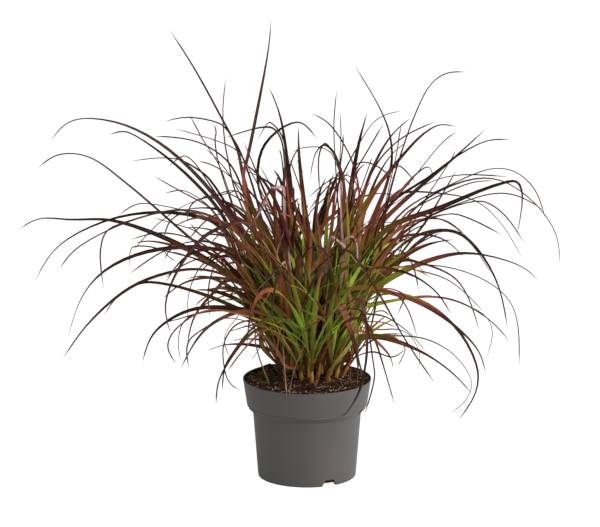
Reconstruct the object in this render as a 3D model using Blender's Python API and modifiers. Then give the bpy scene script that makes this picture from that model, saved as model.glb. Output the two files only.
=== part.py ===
"""A potted ornamental grass clump: a nursery pot, its soil and a tuft of arching leaves.

Metres, +Z up. The origin is the middle of the pot's foot, on the ground, and the viewer of the
photograph looks along +Y. Each shoot of the clump is a short culm with up to four leaves that
grow from it: three from its sides and one from its top.
"""

import math
import random

import bmesh
import bpy
import numpy as np
from mathutils import Matrix, Vector, noise
from mathutils.bvhtree import BVHTree

# Pot, a 19 cm nursery pot: a tall collar, a sloped step under it and a tapering body
POT_HEIGHT = 0.148
RIM_RADIUS = 0.095
RIM_ROUNDING = 0.0005
COLLAR_END_RADIUS = 0.089
COLLAR_END_HEIGHT = 0.1086
BODY_TOP_RADIUS = 0.0802
BODY_TOP_HEIGHT = 0.0999
BASE_RADIUS = 0.0725
BASE_ROUNDING = 0.0012
WALL = 0.0015
FOOT_RING_INNER = 0.066
FOOT_RECESS = 0.003
BASE_THICKNESS = 0.0018
BOSS_RADIUS = 0.009
ROUND_STEPS = 36

# Drain notches in the pot's foot
NOTCH_COUNT = 3
NOTCH_FIRST = math.radians(-63)
NOTCH_WIDTH_LOW = 0.024
NOTCH_WIDTH_HIGH = 0.013
NOTCH_HEIGHT = 0.010
NOTCH_INNER_RADIUS = 0.061
NOTCH_OUTER_RADIUS = 0.085

# Ribs under the collar, in groups of three; angles in degrees
RIB_GROUPS = (18, 162, 198, 342)
RIB_SPACING = 5.5
RIB_LENGTH = 0.008
RIB_THICKNESS = 0.0012
RIB_PROUD = 0.0011

# Soil
SOIL_GAP = 0.0004
SOIL_EDGE_DROP = 0.0035
SOIL_MOUND_HEIGHT = 0.010
SOIL_MOUND_RADIUS = 0.072
SOIL_BUMP = (-0.056, 0.058, 0.008)
SOIL_BUMP_SIZE = 0.009
SOIL_LUMP = 0.0022
SOIL_LUMP_SIZE = 0.016
SOIL_LUMPS_FROM = 0.064
SOIL_RINGS = (0.082, 0.070, 0.058, 0.046, 0.034, 0.020)

# Culms, and the leaves that grow from them
SHOOTS = 37
CROWN_CENTRE = (0.006, 0.006)
CROWN_RADIUS = 0.047
MOST_LEAN = math.radians(26)
CULM_SIDES = 6
CULM_RADIUS = 0.0027
CULM_LENGTH = (0.022, 0.054)
LEAF_BASE_HEIGHT = 0.0055
LEAF_BASE_BELOW = 0.007
FOOT_GAP = 0.0003
OUTLINED_RINGS = 7
RULED_RINGS = 6
KEEL_SHARE = 0.32
KEEL_LEAST = 0.0003
TWIST = math.radians(52)
TWIST_LENGTH = 0.4

# Room that a leaf needs, and how far its heading and width may change to find it
ROOT_SHARE = 0.15
CLEARANCE = 0.0006
POT_CLEARANCE = 0.002
FLOOR_CLEARANCE = 0.012
MOST_TURN = math.radians(58)
MOST_FACING = math.radians(71)
TURN_STEP = math.radians(1.2)
TURN_TRIES = 37
WIDTH_TRIES = (1.0, 0.8, 0.62)
PLACES = 16
RULED_DRAWS = 14
SEED = 7

# Surfaces
POT_COLOUR = (0.115, 0.110, 0.106, 1.0)
POT_ROUGHNESS = 0.5
SOIL_COLOUR = (0.023, 0.013, 0.009, 1.0)
SOIL_ROUGHNESS = 1.0
LEAF_COLOUR = (0.102, 0.026, 0.024, 1.0)
LEAF_ROUGHNESS = 0.45

# The photograph's view: picture size in pixels, focal length in pixels, and the eye's place
PICTURE = (600, 527)
FOCAL = 3381.0
EYE = np.array([-0.0104, -4.832, 1.434])
VIEW_PITCH = math.radians(12.97)

# Outlines read from the photograph, each in pixels from the clump to the tip, after how far
# the leaf's upright plane turns towards the viewer in degrees, and the blade's width in mm.
LEFT_LEAVES = (
    (5, 6.0, "243,178 247,158 253,131 259,100 264,75 268,50 271,32 271,18"),
    (-20, 4.5, "246,190 239,155 231,136 221,117 209,97 199,78 188,57 169,29"),
    (15, 4.0, "233,185 229,165 225,145 223,120 223,104 226,76"),
    (10, 4.5, "226,212 199,178 170,151 150,137 130,127 110,121 90,118.5 75,120 62,127 50,142"),
    (-12, 4.5, "222,215 205,193 168,158 150,146 130,133 122,131.5 108,135"),
    (20, 4.0, "235,278 195,243 150,204 110,170 95,160 82,155 70,153.5 58,155 46,161 37,169"),
    (-30, 3.0, "210,180 195,168 180,160 165,158 150,158.5 129,161.5"),
    (30, 6.0, "218,198 207,180 198,167 190,158.5 185,156 179,158 168,167"),
    (-35, 2.5, "244,160 234,140 222,125 205,119.5 190,117.5 177,118 163,122"),
    (35, 3.0, "250,170 237,151 225,144 208,138 190,132 172,128"),
    (-45, 2.5, "235,172 222,156 207,146 195,141 180,138.5 165,137 152,136"),
    (40, 5.5, "238,190 229,174 220,163 212,154 204,148"),
    (25, 2.5, "235,182 222,171 207,163 198,161"),
    (45, 5.5, "222,222 210,207 200,199 190,193 182,190.5 174,191 164,193.5"),
    (-15, 3.0, "212,210 197,200 180,191 165,183 152,175"),
    (30, 3.0, "228,238 203,218 190,213 170,208 155,204.5 145,203.5 135,205 118,216"),
    (-10, 4.0, "225,230 195,216 165,212.5 130,214.5 105,221 80,233 60,245 48,258 34,283"),
    (10, 3.0, "228,228 200,213 178,210 150,215 120,225 90,240 75,250 65,260 59,270"),
    (50, 2.5, "225,224 185,209.5 145,216 125,222.5 107,231 102,243 100,255 104,291"),
    (0, 5.5, "262,305 225,272 180,245 150,232 112,220.5 75,220 45,218 33,221 18,230"),
    (-25, 5.0, "250,262 220,251 190,247.5 150,251 112,266 100,275 88,287 73,317 67,341"),
    (35, 3.5, "215,252 200,246 185,246 172,248 162,252 150,260 128,275"),
    (25, 6.5, "270,312 240,283 205,261 190,251 175,247 160,243.5 148,241 135,243"),
    (-40, 2.0, "240,193 225,194 210,197 195,201 180,207 165,218 150,231 131,253"),
    (-30, 2.0, "215,268 185,256 170,252 155,247.5 140,246 132,248 129,258 129,270"),
    (10, 4.5, "240,285 213,272 185,270 165,274 138,283 125,291 112,302 85,327 62,360"),
    (-20, 4.5, "268,322 240,310 205,295 170,285 150,282 140,283.5 127,290 115,299 103,317"),
    (35, 6.0, "240,222 219,231 205,236 195,246 186,258 177,271 170,286 165,312 171,335"),
    (-35, 4.0, "235,250 215,256 203,264 196,274 191,286 188,297 187,310 188,324"),
    (50, 3.0, "225,258 217,262 212,272 209,285 208,297 210,318"),
    (30, 5.0, "262,288 245,282 232,280 222,283 214,292 199,309 193,320 187,347"),
    (15, 5.0, "275,322 245,311 228,308 195,309 180,314 165,323 155,332 149,342 142,364"),
    (-15, 3.5, "262,320 228,310 200,313 188,317 175,320 163,324 151,338"),
    (40, 6.5, "278,322 248,311 235,313 222,318 212,324 202,333 194,344 180,370"),
    (-30, 3.5, "235,312 200,313 190,317 183,323 180,332 178,345 181,362"),
    (30, 2.5, "215,310 195,315 183,323 174,331 169,340 168,348 177,365"),
    (55, 2.5, "230,318 215,323 200,331 191,338 187,347 189,369"),
    (45, 5.0, "275,318 262,322 250,331 240,343 233,353 226,364 222,392"),
    (35, 3.5, "262,328 245,340 235,352 226,366 220,377 216,398 216,405"),
    (-45, 4.0, "275,318 262,322 248,326 237,329 227,332"),
    (-55, 2.5, "262,298 247,303 238,316 230,326 225,335 225,345 230,358"),
    (-25, 4.0, "285,355 275,352 262,347 235,344 222,345.5 206,351"),
    (60, 4.5, "288,318 275,325 262,332 250,343 240,354 227,372"),
    (-50, 3.5, "280,322 270,330 264,341 257,351 250,362"),
    (-10, 4.0, "275,215 266,195 258,175 250,158 243,140"),
    (30, 5.0, "287,200 286,165 283,148 279,135 273,128.5 265,127 245,133 222,139"),
    (-30, 3.5, "290,185 289,165 286,147 281,134 270,122.5 264,128 256,143"),
    (-20, 5.0, "345,200 340,170 336,157 330,148 324,145 313,158 310,182"),
    (30, 4.0, "342,205 340,180 337,160 332,150 326,143.5 321,148 318,175 320,195"),
    (-20, 4.0, "305,215 302,195 297,180 292,167 288,155"),
    (70, 6.0, "292,300 288,280 281,267 272,275 262,286 254,294"),
    (62, 4.5, "290,215 284,196 276,189 268,194 256,214 249,229 234,246"),
    (65, 5.0, "295,262 290,240 287,227 282,235 277,256"),
    (65, 4.0, "316,308 310,298 303,288 294,281.5 284,283 273,289 261,308"),
    (40, 2.5, "232,238 212,220 195,213 182,213.5 174,217.5 169,223 165.5,231 162.5,243"),
    (-10, 5.0, "245,272 232,258 222,249.5 213,243.5 205,238.5 199,233.5 194.5,229 190,222.5"),
    (20, 2.5, "240,262 225,257 212,257 200,258.5 190,262 180,267 172,272 164,279"),
    (30, 2.2, "235,222 220,214.5 210,217.5 203,223.5 196,230 190,236.5 185,244"),
    (0, 2.5, "262,302 245,293.5 232,291.5 220,292 210,295 201,300 194,307"),
    (10, 2.5, "265,305 248,295 234,294 223,296.5 212,300.5 205,304 199,309"),
    (20, 3.0, "360,200 354,180 347,175.5 338,176 331,180 322.7,184.5 314.5,191 306.5,199.5"),
    (10, 3.5, "352,190 343,178 336,180 330,184.5 323,191 317,199 312,206 307,213"),
    (15, 2.2, "225,262 205,252 190,247.5 178,247 171,249.5 167,254 164,260.5"),
)
RIGHT_LEAVES = (
    (20, 5.5, "262,200 258,178 259,160 263,148 270,137 280,129 290,124.5 300,122.5 318,140"),
    (35, 6.0, "287,215 288,190 290,172 293,157 297,150.5 300,151 295,168"),
    (-35, 2.5, "360,205 357,185 355,170 350,156 342,141 333,128 322,118 311,113"),
    (5, 2.5, "338,200 336,170 335,150 334,125 335,105 337,89"),
    (15, 3.0, "343,195 340,165 340,150 341,135 341,120 340,109"),
    (-10, 4.5, "375,215 385,190 391,168 392,150 390,135 386,121 378,105 362,77 353,63"),
    (10, 4.0, "385,212 392,185 404,147 415,115 421,100 428,88 438,78 448,73 468,72"),
    (25, 3.5, "330,203 339,183 353,153.7 360,143.5 370,126.5 376,120 391,112.5 404,110.5"),
    (-30, 3.0, "349,215 349,197 351,181 357,168.5 365.5,154.5 374.5,137.3 385,121"),
    (5, 6.5, "350,235 370,198 395,165 407,151 420,137 430,129.5 440,125 457,127"),
    (-25, 4.0, "352,220 366,185 376,165 388,150 402,138 418,129 438,120.5"),
    (30, 3.0, "380,222 400,195 425,163 437,149 447,138 458,131"),
    (-5, 6.0, "370,240 402,203 440,171 468,144 478,135 488,127"),
    (20, 5.0, "385,212 425,180 447,165 462,153 475,146 487,141 500,139 512,140"),
    (-35, 4.5, "372,235 400,193 412,178 424,168 430,168 433,180"),
    (-15, 2.5, "400,215 450,185 480,172 495,168.5 510,170 522,176 532,186 540,199 546,221"),
    (-45, 2.0, "405,215 420,205 445,193 460,187 475,182 497,181"),
    (12, 6.0, "375,240 415,216 472,198 498,184 510,180.5 518,183 522,192 522,205 516,240"),
    (-28, 2.0, "420,222 440,212 460,203 478,197 495,193.5 510,194 525,199 545,211"),
    (28, 3.0, "405,232 440,213 470,202 480,201 490,204 500,211 510,221 526,246"),
    (-40, 3.5, "390,200 430,193 470,199 483,205 495,216 507,231 517,247 525,263"),
    (40, 3.0, "400,232 420,222 450,214 460,215 472,220 483,226 504,236"),
    (-20, 2.5, "400,222 415,216 430,217 445,221 458,231 470,242 492,275"),
    (18, 4.0, "395,252 422,233.5 450,230.5 462,235 474,245 492,272 499,288 508,331"),
    (-35, 4.0, "388,275 413,247 424,238 435,232 447,231 459,234 472,245 491,272"),
    (5, 6.0, "370,292 402,272 437,258 465,253.5 495,257.5 522,267 531,274 539,281"),
    (-10, 4.0, "380,275 412,266 447,267 478,277 499,289 510,302 516.5,316 516.5,334 519,370"),
    (35, 4.5, "400,262 435,268 447,273 458,281 466,293 472,307 480,333"),
    (-30, 2.5, "385,268 420,272 447,279 458,287 470,298 487,315"),
    (50, 5.5, "370,270 402,272 416,277 427,284 437,293 445,303 452,316"),
    (58, 3.0, "395,250 407,256 413,266 416,277 419,292"),
    (-15, 3.5, "375,305 410,298 425,296.5 455,300.5 480,314 492,322 511,343"),
    (-45, 2.0, "420,297 445,298.5 465,304.5 480,312 488,319 492.5,333 486,360"),
    (15, 6.5, "350,290 395,294 425,306 452,324 463,333 472,343 480,354 486,375"),
    (30, 4.0, "380,295 418,300 435,309 450,321 461,334 469,347 476,363.5 478.5,380 470,405 457,422"),
    (-25, 2.5, "365,338 402,335 432,341 447,349 459,360 468,373 472,386 461,407 447,416"),
    (20, 5.5, "345,340 378,336.5 408,346 438,362 452,373 464,384 473,395"),
    (50, 6.5, "345,250 370,281 390,311 400,330 410,348 419,362 437,386"),
    (-35, 3.5, "375,315 395,322 405,331 415,338 421,345 427,354"),
    (40, 4.0, "375,292 390,292 400,298 407,308 412,320 418,340"),
    (-50, 2.5, "385,330 400,330 410,335 416,345 420,356 418,371"),
    (45, 4.0, "358,318 368,325 374,338 380,352 384,368 388,384 395,406"),
    (-20, 5.0, "350,330 365,333 376,342 385,350 391,359 393,369"),
    (57, 4.0, "360,310 367,325 370,342 372,358 375,371 372,385 364,416"),
    (62, 5.0, "360,300 366,325 367,345 365,368 361,385 356,399 348,411"),
    (64, 6.0, "325,290 337,300 345,315 350,330 355,348 358,366 357,384"),
    (70, 6.0, "340,262 343,245 349,237 355,241 358,250 358,262 356,275"),
    (15, 4.0, "360,300 385,275 408,245 425,223 441,197 449,182 458,168"),
    (-15, 4.0, "350,300 372,270 395,240 410,222 424,203 432,187"),
    (0, 2.2, "400,225 425,200 455,185 480,178 505,182 528,197 545,215 555,232 560,250 560,268"),
    (40, 2.2, "400,200 420,188 443,177 465,175 490,175 510,177"),
    (10, 3.0, "310,213 320,203 335,187 345,176 352,168"),
    (30, 2.4, "380,290 395,290 405,296 403,301 400,310 397,316"),
    (15, 2.5, "352,200 353,180 354.5,168 358,163.5 366,162.3 376,165.5 386.5,171.7 398,182.5"),
    (25, 2.2, "372,225 380,200 388,178 394,168.5 399,166 404,169 411,176.5 418,185"),
    (15, 2.4, "370,336 380,334.5 390,334 403,334"),
    (-10, 2.4, "368,322 377,322 385,323 397,328"),
)


class Leaf:
    """One leaf: its heading, its width, and its outline in pixels or its reach by rule."""

    def __init__(self, heading, width, pixels=None, reach=None):
        self.heading = heading
        self.width = width / 1000
        self.pixels = pixels
        self.reach = reach

    def path(self, base, start, heading):
        """The leaf's centre line from its base, when it turns to a heading."""
        if self.pixels is None:
            return smooth_path(ruled_knots(base, heading, self.reach), start)
        return smooth_path(np.vstack([base, on_upright_plane(self.pixels, base, heading)]), start)


def unit(vector):
    return vector / np.linalg.norm(vector)


def heading_vector(angle):
    return np.array([math.cos(angle), math.sin(angle), 0.0])


def on_upright_plane(pixels, point, heading):
    """Where the sight lines through the pixels meet the upright plane through a point."""
    forward = np.array([0, math.cos(VIEW_PITCH), -math.sin(VIEW_PITCH)])
    upward = np.array([0, math.sin(VIEW_PITCH), math.cos(VIEW_PITCH)])
    across = (pixels[:, :1] - PICTURE[0] / 2) / FOCAL
    above = (PICTURE[1] / 2 - pixels[:, 1:]) / FOCAL
    rays = forward + across * np.array([1.0, 0, 0]) + above * upward
    normal = np.array([-math.sin(heading), math.cos(heading), 0.0])
    distance = normal @ (point - EYE) / (rays @ normal)
    return EYE + distance[:, None] * rays


def smooth_path(knots, start, samples=160):
    """A centripetal spline through the knots that leaves the first one along start.

    Each stretch is a cubic between two knots, whose slopes are the weighted mean of the
    chords on both sides. The result has evenly spaced samples.
    """
    chords = np.diff(knots, axis=0)
    steps = np.sqrt(np.linalg.norm(chords, axis=1))
    slopes = chords / steps[:, None]
    tangents = np.empty_like(knots)
    before, after = steps[:-1, None], steps[1:, None]
    tangents[1:-1] = (slopes[:-1] * after + slopes[1:] * before) / (before + after)
    tangents[0] = start * np.linalg.norm(slopes[0])
    tangents[-1] = 1.5 * slopes[-1] - 0.5 * tangents[-2]
    t = np.linspace(0, 1, 24, endpoint=False)[None, :, None]
    a, b = knots[:-1, None], knots[1:, None]
    m = tangents[:-1, None] * steps[:, None, None]
    n = tangents[1:, None] * steps[:, None, None]
    curve = (2 * t**3 - 3 * t**2 + 1) * a + (t**3 - 2 * t**2 + t) * m
    curve = curve + (3 * t**2 - 2 * t**3) * b + (t**3 - t**2) * n
    curve = np.vstack([curve.reshape(-1, 3), knots[-1]])
    return at_even_lengths(curve, samples)


def at_even_lengths(curve, samples):
    """The curve at evenly spaced lengths along it."""
    lengths = np.linalg.norm(np.diff(curve, axis=0), axis=1)
    along = np.concatenate([[0.0], np.cumsum(lengths)])
    even = np.linspace(0, along[-1], samples)
    return np.column_stack([np.interp(even, along, curve[:, axis]) for axis in range(3)])


def stations(curve, count):
    """Count points of the curve, closer together where it bends."""
    steps = np.diff(curve, axis=0)
    directions = steps / np.linalg.norm(steps, axis=1)[:, None]
    turns = np.linalg.norm(np.diff(directions, axis=0), axis=1)
    share = np.full(len(steps), 1 / len(steps))
    share[1:] += 0.9 * turns / turns.sum()
    progress = np.concatenate([[0.0], np.cumsum(share)])
    wanted = np.linspace(0, progress[-1], count)
    index = np.interp(wanted, progress, np.arange(len(curve)))
    place = np.column_stack(
        [np.interp(index, np.arange(len(curve)), curve[:, axis]) for axis in range(3)]
    )
    return place, index / (len(curve) - 1)


def soil_height(x, y):
    """Height of the soil: raised round the crown, smooth there and lumpy near the rim."""
    distance = math.hypot(x, y)
    mound = SOIL_MOUND_HEIGHT * max(0.0, 1 - (distance / SOIL_MOUND_RADIUS) ** 2) ** 1.5
    from_bump = math.hypot(x - SOIL_BUMP[0], y - SOIL_BUMP[1]) / SOIL_BUMP_SIZE
    bump = SOIL_BUMP[2] * math.exp(-(from_bump**2) / 2)
    lumpy = min(1.0, max(0.0, (distance - SOIL_LUMPS_FROM) / SOIL_LUMP_SIZE))
    lump = SOIL_LUMP * lumpy * noise.noise(Vector((x, y, 0)) / SOIL_LUMP_SIZE)
    return POT_HEIGHT - SOIL_EDGE_DROP + mound + bump + lump


def ruled_knots(base, heading, reach):
    """Knots of a leaf that follows no outline: it climbs, arches over and droops.

    Its angle above level falls from the launch angle with a power of the length.
    """
    length, launch, fall, power = reach
    along = np.linspace(0, 1, 9)
    angle = launch - fall * along**power
    steps = np.diff(along) * length
    middle = (angle[:-1] + angle[1:]) / 2
    out = np.concatenate([[0.0], np.cumsum(np.cos(middle) * steps)])
    up = np.concatenate([[0.0], np.cumsum(np.sin(middle) * steps)])
    knots = base + out[:, None] * heading_vector(heading)
    knots[:, 2] += up
    return knots


def blade_rings(path, heading, width, rings):
    """Corners of a three-sided blade along a path: keel, right edge and left edge.

    The blade is narrow at the sheath, widest from a third on, and tapers to the tip. Its upper
    side starts square to the stem and twists a little towards the viewer's side.
    """
    centres, along = stations(path, rings + 2)
    tangents = np.gradient(centres, axis=0)
    tangents /= np.linalg.norm(tangents, axis=1)[:, None]
    level = np.array([-math.sin(heading), math.cos(heading), 0.0])
    side = level - tangents * (tangents @ level)[:, None]
    side /= np.linalg.norm(side, axis=1)[:, None]
    over = np.cross(tangents, side)
    twist = (TWIST * math.cos(heading) * np.minimum(1, along / TWIST_LENGTH))[:, None]
    across = side * np.cos(twist) + over * np.sin(twist)
    upper = over * np.cos(twist) - side * np.sin(twist)
    widths = width * np.minimum(1, 0.55 + 1.6 * along) * (1 - along**2.4) ** 0.8
    half = widths[:, None] / 2
    keel = half * 2 * KEEL_SHARE + KEEL_LEAST
    corners = np.stack([centres - upper * keel, centres + across * half, centres - across * half])
    return corners.transpose(1, 0, 2)[:-1], centres[-1]


class Loft:
    """Corners and faces of a skin, built up ring by ring."""

    def __init__(self):
        self.corners = []
        self.faces = []

    def put(self, points):
        first = len(self.corners)
        self.corners.extend(tuple(point) for point in points)
        return list(range(first, len(self.corners)))

    def quad(self, a, b, c, d):
        """Two triangles that share the shorter diagonal."""
        if math.dist(self.corners[a], self.corners[c]) <= math.dist(self.corners[b], self.corners[d]):
            self.faces += [(a, b, c), (a, c, d)]
        else:
            self.faces += [(a, b, d), (b, c, d)]

    def wall(self, low, high, openings=()):
        for k in range(len(low)):
            if k not in openings:
                after = (k + 1) % len(low)
                self.quad(low[k], low[after], high[after], high[k])

    def root(self, opening, ring):
        """Joins a blade's first ring to an opening.

        The opening runs anticlockwise seen from outside, in three groups of corners: those
        that meet the keel, the right edge and the left edge.
        """
        for part in range(3):
            group = opening[part]
            for one, other in zip(group[:-1], group[1:]):
                self.faces.append((one, other, ring[part]))
            after = (part + 1) % 3
            self.quad(group[-1], opening[after][0], ring[after], ring[part])

    def blade(self, rings, tip):
        """The walls of a blade from its first ring to its tip; returns the first ring."""
        placed = [self.put(ring) for ring in rings]
        for low, high in zip(placed[:-1], placed[1:]):
            self.wall(low, high)
        end = self.put([tip])[0]
        for part in range(3):
            self.faces.append((placed[-1][part], placed[-1][(part + 1) % 3], end))
        return placed[0]

    def mesh(self, name):
        mesh = bpy.data.meshes.new(name)
        mesh.from_pydata(self.corners, [], self.faces)
        mesh.polygons.foreach_set("use_smooth", [True] * len(mesh.polygons))
        mesh.update()
        return mesh


class Clump:
    """The culms and leaves placed so far, which each new leaf keeps clear of."""

    def __init__(self):
        self.trees = []
        self.owners = []
        self.lows = []
        self.highs = []

    def add(self, loft, owner):
        self.trees.append(BVHTree.FromPolygons(loft.corners, loft.faces))
        self.owners.append(owner)
        self.lows.append(np.min(loft.corners, axis=0))
        self.highs.append(np.max(loft.corners, axis=0))

    def hits(self, skin, owner, own):
        """How many pieces of the same shoot, or of all the others, a skin runs into."""
        low = np.min(skin.corners, axis=0)
        high = np.max(skin.corners, axis=0)
        near = (np.array(self.owners) == owner) == own
        near &= (np.array(self.lows) < high).all(axis=1)
        near &= (np.array(self.highs) > low).all(axis=1)
        tree = BVHTree.FromPolygons(skin.corners, skin.faces)
        return sum(bool(tree.overlap(self.trees[k])) for k in np.flatnonzero(near))


class Shoot:
    """A culm that leans out from the crown, with room for three side leaves and one on top."""

    def __init__(self, number, rng):
        self.number = number
        self.azimuth = number * math.pi * (3 - math.sqrt(5))
        distance = CROWN_RADIUS * math.sqrt((number + 0.5) / SHOOTS)
        outward = heading_vector(self.azimuth)
        x = CROWN_CENTRE[0] + distance * outward[0]
        y = CROWN_CENTRE[1] + distance * outward[1]
        self.foot = np.array([x, y, soil_height(x, y) + FOOT_GAP])
        lean = MOST_LEAN * distance / CROWN_RADIUS
        self.axis = outward * math.sin(lean) + np.array([0, 0, math.cos(lean)])
        self.length = rng.uniform(*CULM_LENGTH)
        self.slots = [self.azimuth + math.radians(120) * k for k in range(3)]
        self.blades = [None] * 4
        self.headings = [self.azimuth] * 4

    def ring(self, distance, radius):
        """The culm's corners at a distance up its axis; those of the foot follow the soil."""
        corners = []
        for k in range(CULM_SIDES):
            across = heading_vector(self.azimuth + (k - 0.5) * 2 * math.pi / CULM_SIDES)
            if distance > 0:
                across = unit(across - self.axis * (across @ self.axis))
            corner = self.foot + self.axis * distance + across * radius
            if distance == 0:
                corner[2] = soil_height(corner[0], corner[1]) + FOOT_GAP
            corners.append(corner)
        return corners

    def slot_base(self, slot):
        """Where the leaf in a slot begins, and the direction in which it sets out."""
        if slot == 3:
            return self.foot + self.axis * self.length, self.axis
        outward = heading_vector(self.slots[slot])
        height = self.length - LEAF_BASE_BELOW + LEAF_BASE_HEIGHT / 2
        base = self.foot + self.axis * height + outward * CULM_RADIUS * 0.9
        return base, unit(self.axis + outward * 0.5)

    def rings(self):
        """The culm's four rings of corners, from its foot to its top."""
        below = self.length - LEAF_BASE_BELOW
        return (
            self.ring(0, CULM_RADIUS * 1.15),
            self.ring(below, CULM_RADIUS),
            self.ring(below + LEAF_BASE_HEIGHT, CULM_RADIUS),
            self.ring(self.length, CULM_RADIUS * 0.8),
        )

    def opening(self, slot, heading, under, above, top):
        """The corners that a leaf grows from: for its keel, its right edge and its left edge."""
        if slot < 3:
            k = 2 * slot
            return (under[k], under[k + 1]), (above[k + 1],), (above[k],)
        turn = round((heading - self.azimuth) / (math.pi / 3))
        turned = [top[(turn + k) % CULM_SIDES] for k in range(CULM_SIDES)]
        return turned[0:2], turned[2:4], turned[4:6]

    def take(self, slot, settled, clump):
        """Grows a settled leaf in a slot."""
        hits, blade, heading = settled
        self.blades[slot] = blade
        self.headings[slot] = heading
        clump.add(self.leaf_skin(slot, blade, heading, 0.0), self.number)

    def leaf_skin(self, slot, blade, heading, swell):
        """A leaf's skin from the opening that it grows from, swollen above its root."""
        loft = Loft()
        opening = self.opening(slot, heading, *self.rings()[1:])
        corners = [loft.put(group) for group in opening]
        loft.root(corners, loft.blade(swollen(blade[0][1:], swell), blade[1]))
        return loft

    def hits(self, slot, blade, heading, clump):
        """How many pieces a leaf would run into; its own shoot counts from above its root."""
        count = clump.hits(self.leaf_skin(slot, blade, heading, CLEARANCE), self.number, False)
        rings, tip = blade
        rings = np.concatenate([rings[:1] + (rings[1:2] - rings[:1]) * ROOT_SHARE, rings[1:]])
        loft = Loft()
        loft.blade(swollen(rings, CLEARANCE), tip)
        count += clump.hits(loft, self.number, True)
        return count + bool(min(rings[:, :, 2].min(), tip[2]) < FLOOR_CLEARANCE)

    def add_culm(self, loft):
        """The culm's walls, open where its leaves grow out; returns its rings."""
        grown = [2 * slot for slot in range(3) if self.blades[slot]]
        foot, under, above, top = (loft.put(ring) for ring in self.rings())
        loft.faces.append(tuple(reversed(foot)))
        loft.wall(foot, under)
        loft.wall(under, above, openings=grown)
        loft.wall(above, top)
        if not self.blades[3]:
            loft.faces.append(tuple(top))
        return under, above, top

    def mesh(self):
        """The culm with its leaves as one closed skin."""
        loft = Loft()
        rings = self.add_culm(loft)
        for slot in range(4):
            if self.blades[slot]:
                opening = self.opening(slot, self.headings[slot], *rings)
                loft.root(opening, loft.blade(self.blades[slot][0][1:], self.blades[slot][1]))
        return loft.mesh(f"tiller_{self.number + 1:02d}")


def outlined_leaves():
    """The leaves whose outlines were read from the photograph."""
    leaves = []
    for table, side in ((LEFT_LEAVES, -1), (RIGHT_LEAVES, 1)):
        for toward, width, outline in table:
            turn = math.radians(toward)
            heading = -turn if side > 0 else math.pi + turn
            pixels = np.array([[float(v) for v in pair.split(",")] for pair in outline.split()])
            leaves.append(Leaf(heading, width, pixels=pixels))
    return leaves


def turn_between(one, other):
    return abs((one - other + math.pi) % (2 * math.pi) - math.pi)


def places_for(leaf, shoots):
    """The free slots for an outlined leaf, the best first.

    A leaf that leaves the crown at a low angle belongs near the crown's edge on its own side,
    on a culm that is shorter than the height at which the leaf comes out.
    """
    crown = np.array([*CROWN_CENTRE, POT_HEIGHT])
    outward = heading_vector(leaf.heading)
    first = on_upright_plane(leaf.pixels[:1], crown, leaf.heading)[0] - crown
    rise = math.degrees(math.atan2(first[2], first @ outward))
    lowness = min(1.0, max(0.0, (85 - rise) / 60))
    wanted = crown + outward * CROWN_RADIUS * lowness
    places = []
    for shoot in shoots:
        taken = sum(blade is not None for blade in shoot.blades)
        cost = np.linalg.norm((shoot.foot - wanted)[:2]) + 0.006 * taken
        cost += 2 * max(0.0, shoot.length - 0.7 * first[2])
        for slot in range(4):
            if shoot.blades[slot]:
                continue
            if slot == 3:
                places.append((cost + 0.014 * lowness, shoot.number, slot))
            else:
                turn = turn_between(shoot.slots[slot], leaf.heading)
                worth = cost + 0.022 * turn + 0.12 * max(0.0, turn - MOST_TURN)
                places.append((worth, shoot.number, slot))
    places.sort()
    return [(shoots[number], slot) for cost, number, slot in places[:PLACES]]


def grow_outlined(shoots, clump):
    """Gives each outlined leaf the first slot where it has room."""
    for leaf in outlined_leaves():
        best = None
        for shoot, slot in places_for(leaf, shoots):
            settled = settle(leaf, shoot, slot, clump)
            if best is None or settled[0] < best[0][0]:
                best = (settled, shoot, slot)
            if not settled[0]:
                break
        settled, shoot, slot = best
        shoot.take(slot, settled, clump)


def grow_ruled(shoots, clump, rng):
    """Fills the slots that are left, so that the clump is as full at the front and back."""
    for slot in (3, 0, 1, 2):
        for shoot in shoots:
            if shoot.blades[slot]:
                continue
            for draw in range(RULED_DRAWS):
                settled = settle(ruled_leaf(shoot, slot, rng), shoot, slot, clump)
                if not settled[0]:
                    shoot.take(slot, settled, clump)
                    break


def ruled_leaf(shoot, slot, rng):
    """A leaf drawn by rule for a slot: those on top stand higher, those in front droop less.

    Those that head sideways are shorter, because the outlines give the long ones there.
    """
    heading = shoot.azimuth if slot == 3 else shoot.slots[slot]
    heading += math.radians(rng.uniform(-25, 25))
    facing = max(0.0, -math.sin(heading))
    length = rng.uniform(0.28, 0.46) - 0.05 * facing - 0.16 * abs(math.cos(heading))
    launch = math.radians(rng.uniform(60, 84))
    if slot == 3:
        launch = math.radians(rng.uniform(74, 88))
        length += 0.04
    fall = math.radians(rng.uniform(65, 125) - 30 * facing)
    reach = (length, launch, fall, rng.uniform(1.3, 2.0))
    return Leaf(heading, rng.uniform(3.5, 6.0), reach=reach)


def pot_obstacle():
    """A plain drum round the pot, which the drooping leaves pass outside."""
    loft = Loft()
    low = loft.put(circle(RIM_RADIUS + POT_CLEARANCE, 0))
    high = loft.put(circle(RIM_RADIUS + POT_CLEARANCE, POT_HEIGHT + POT_CLEARANCE))
    loft.wall(low, high)
    loft.faces.append(tuple(high))
    return loft


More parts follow.
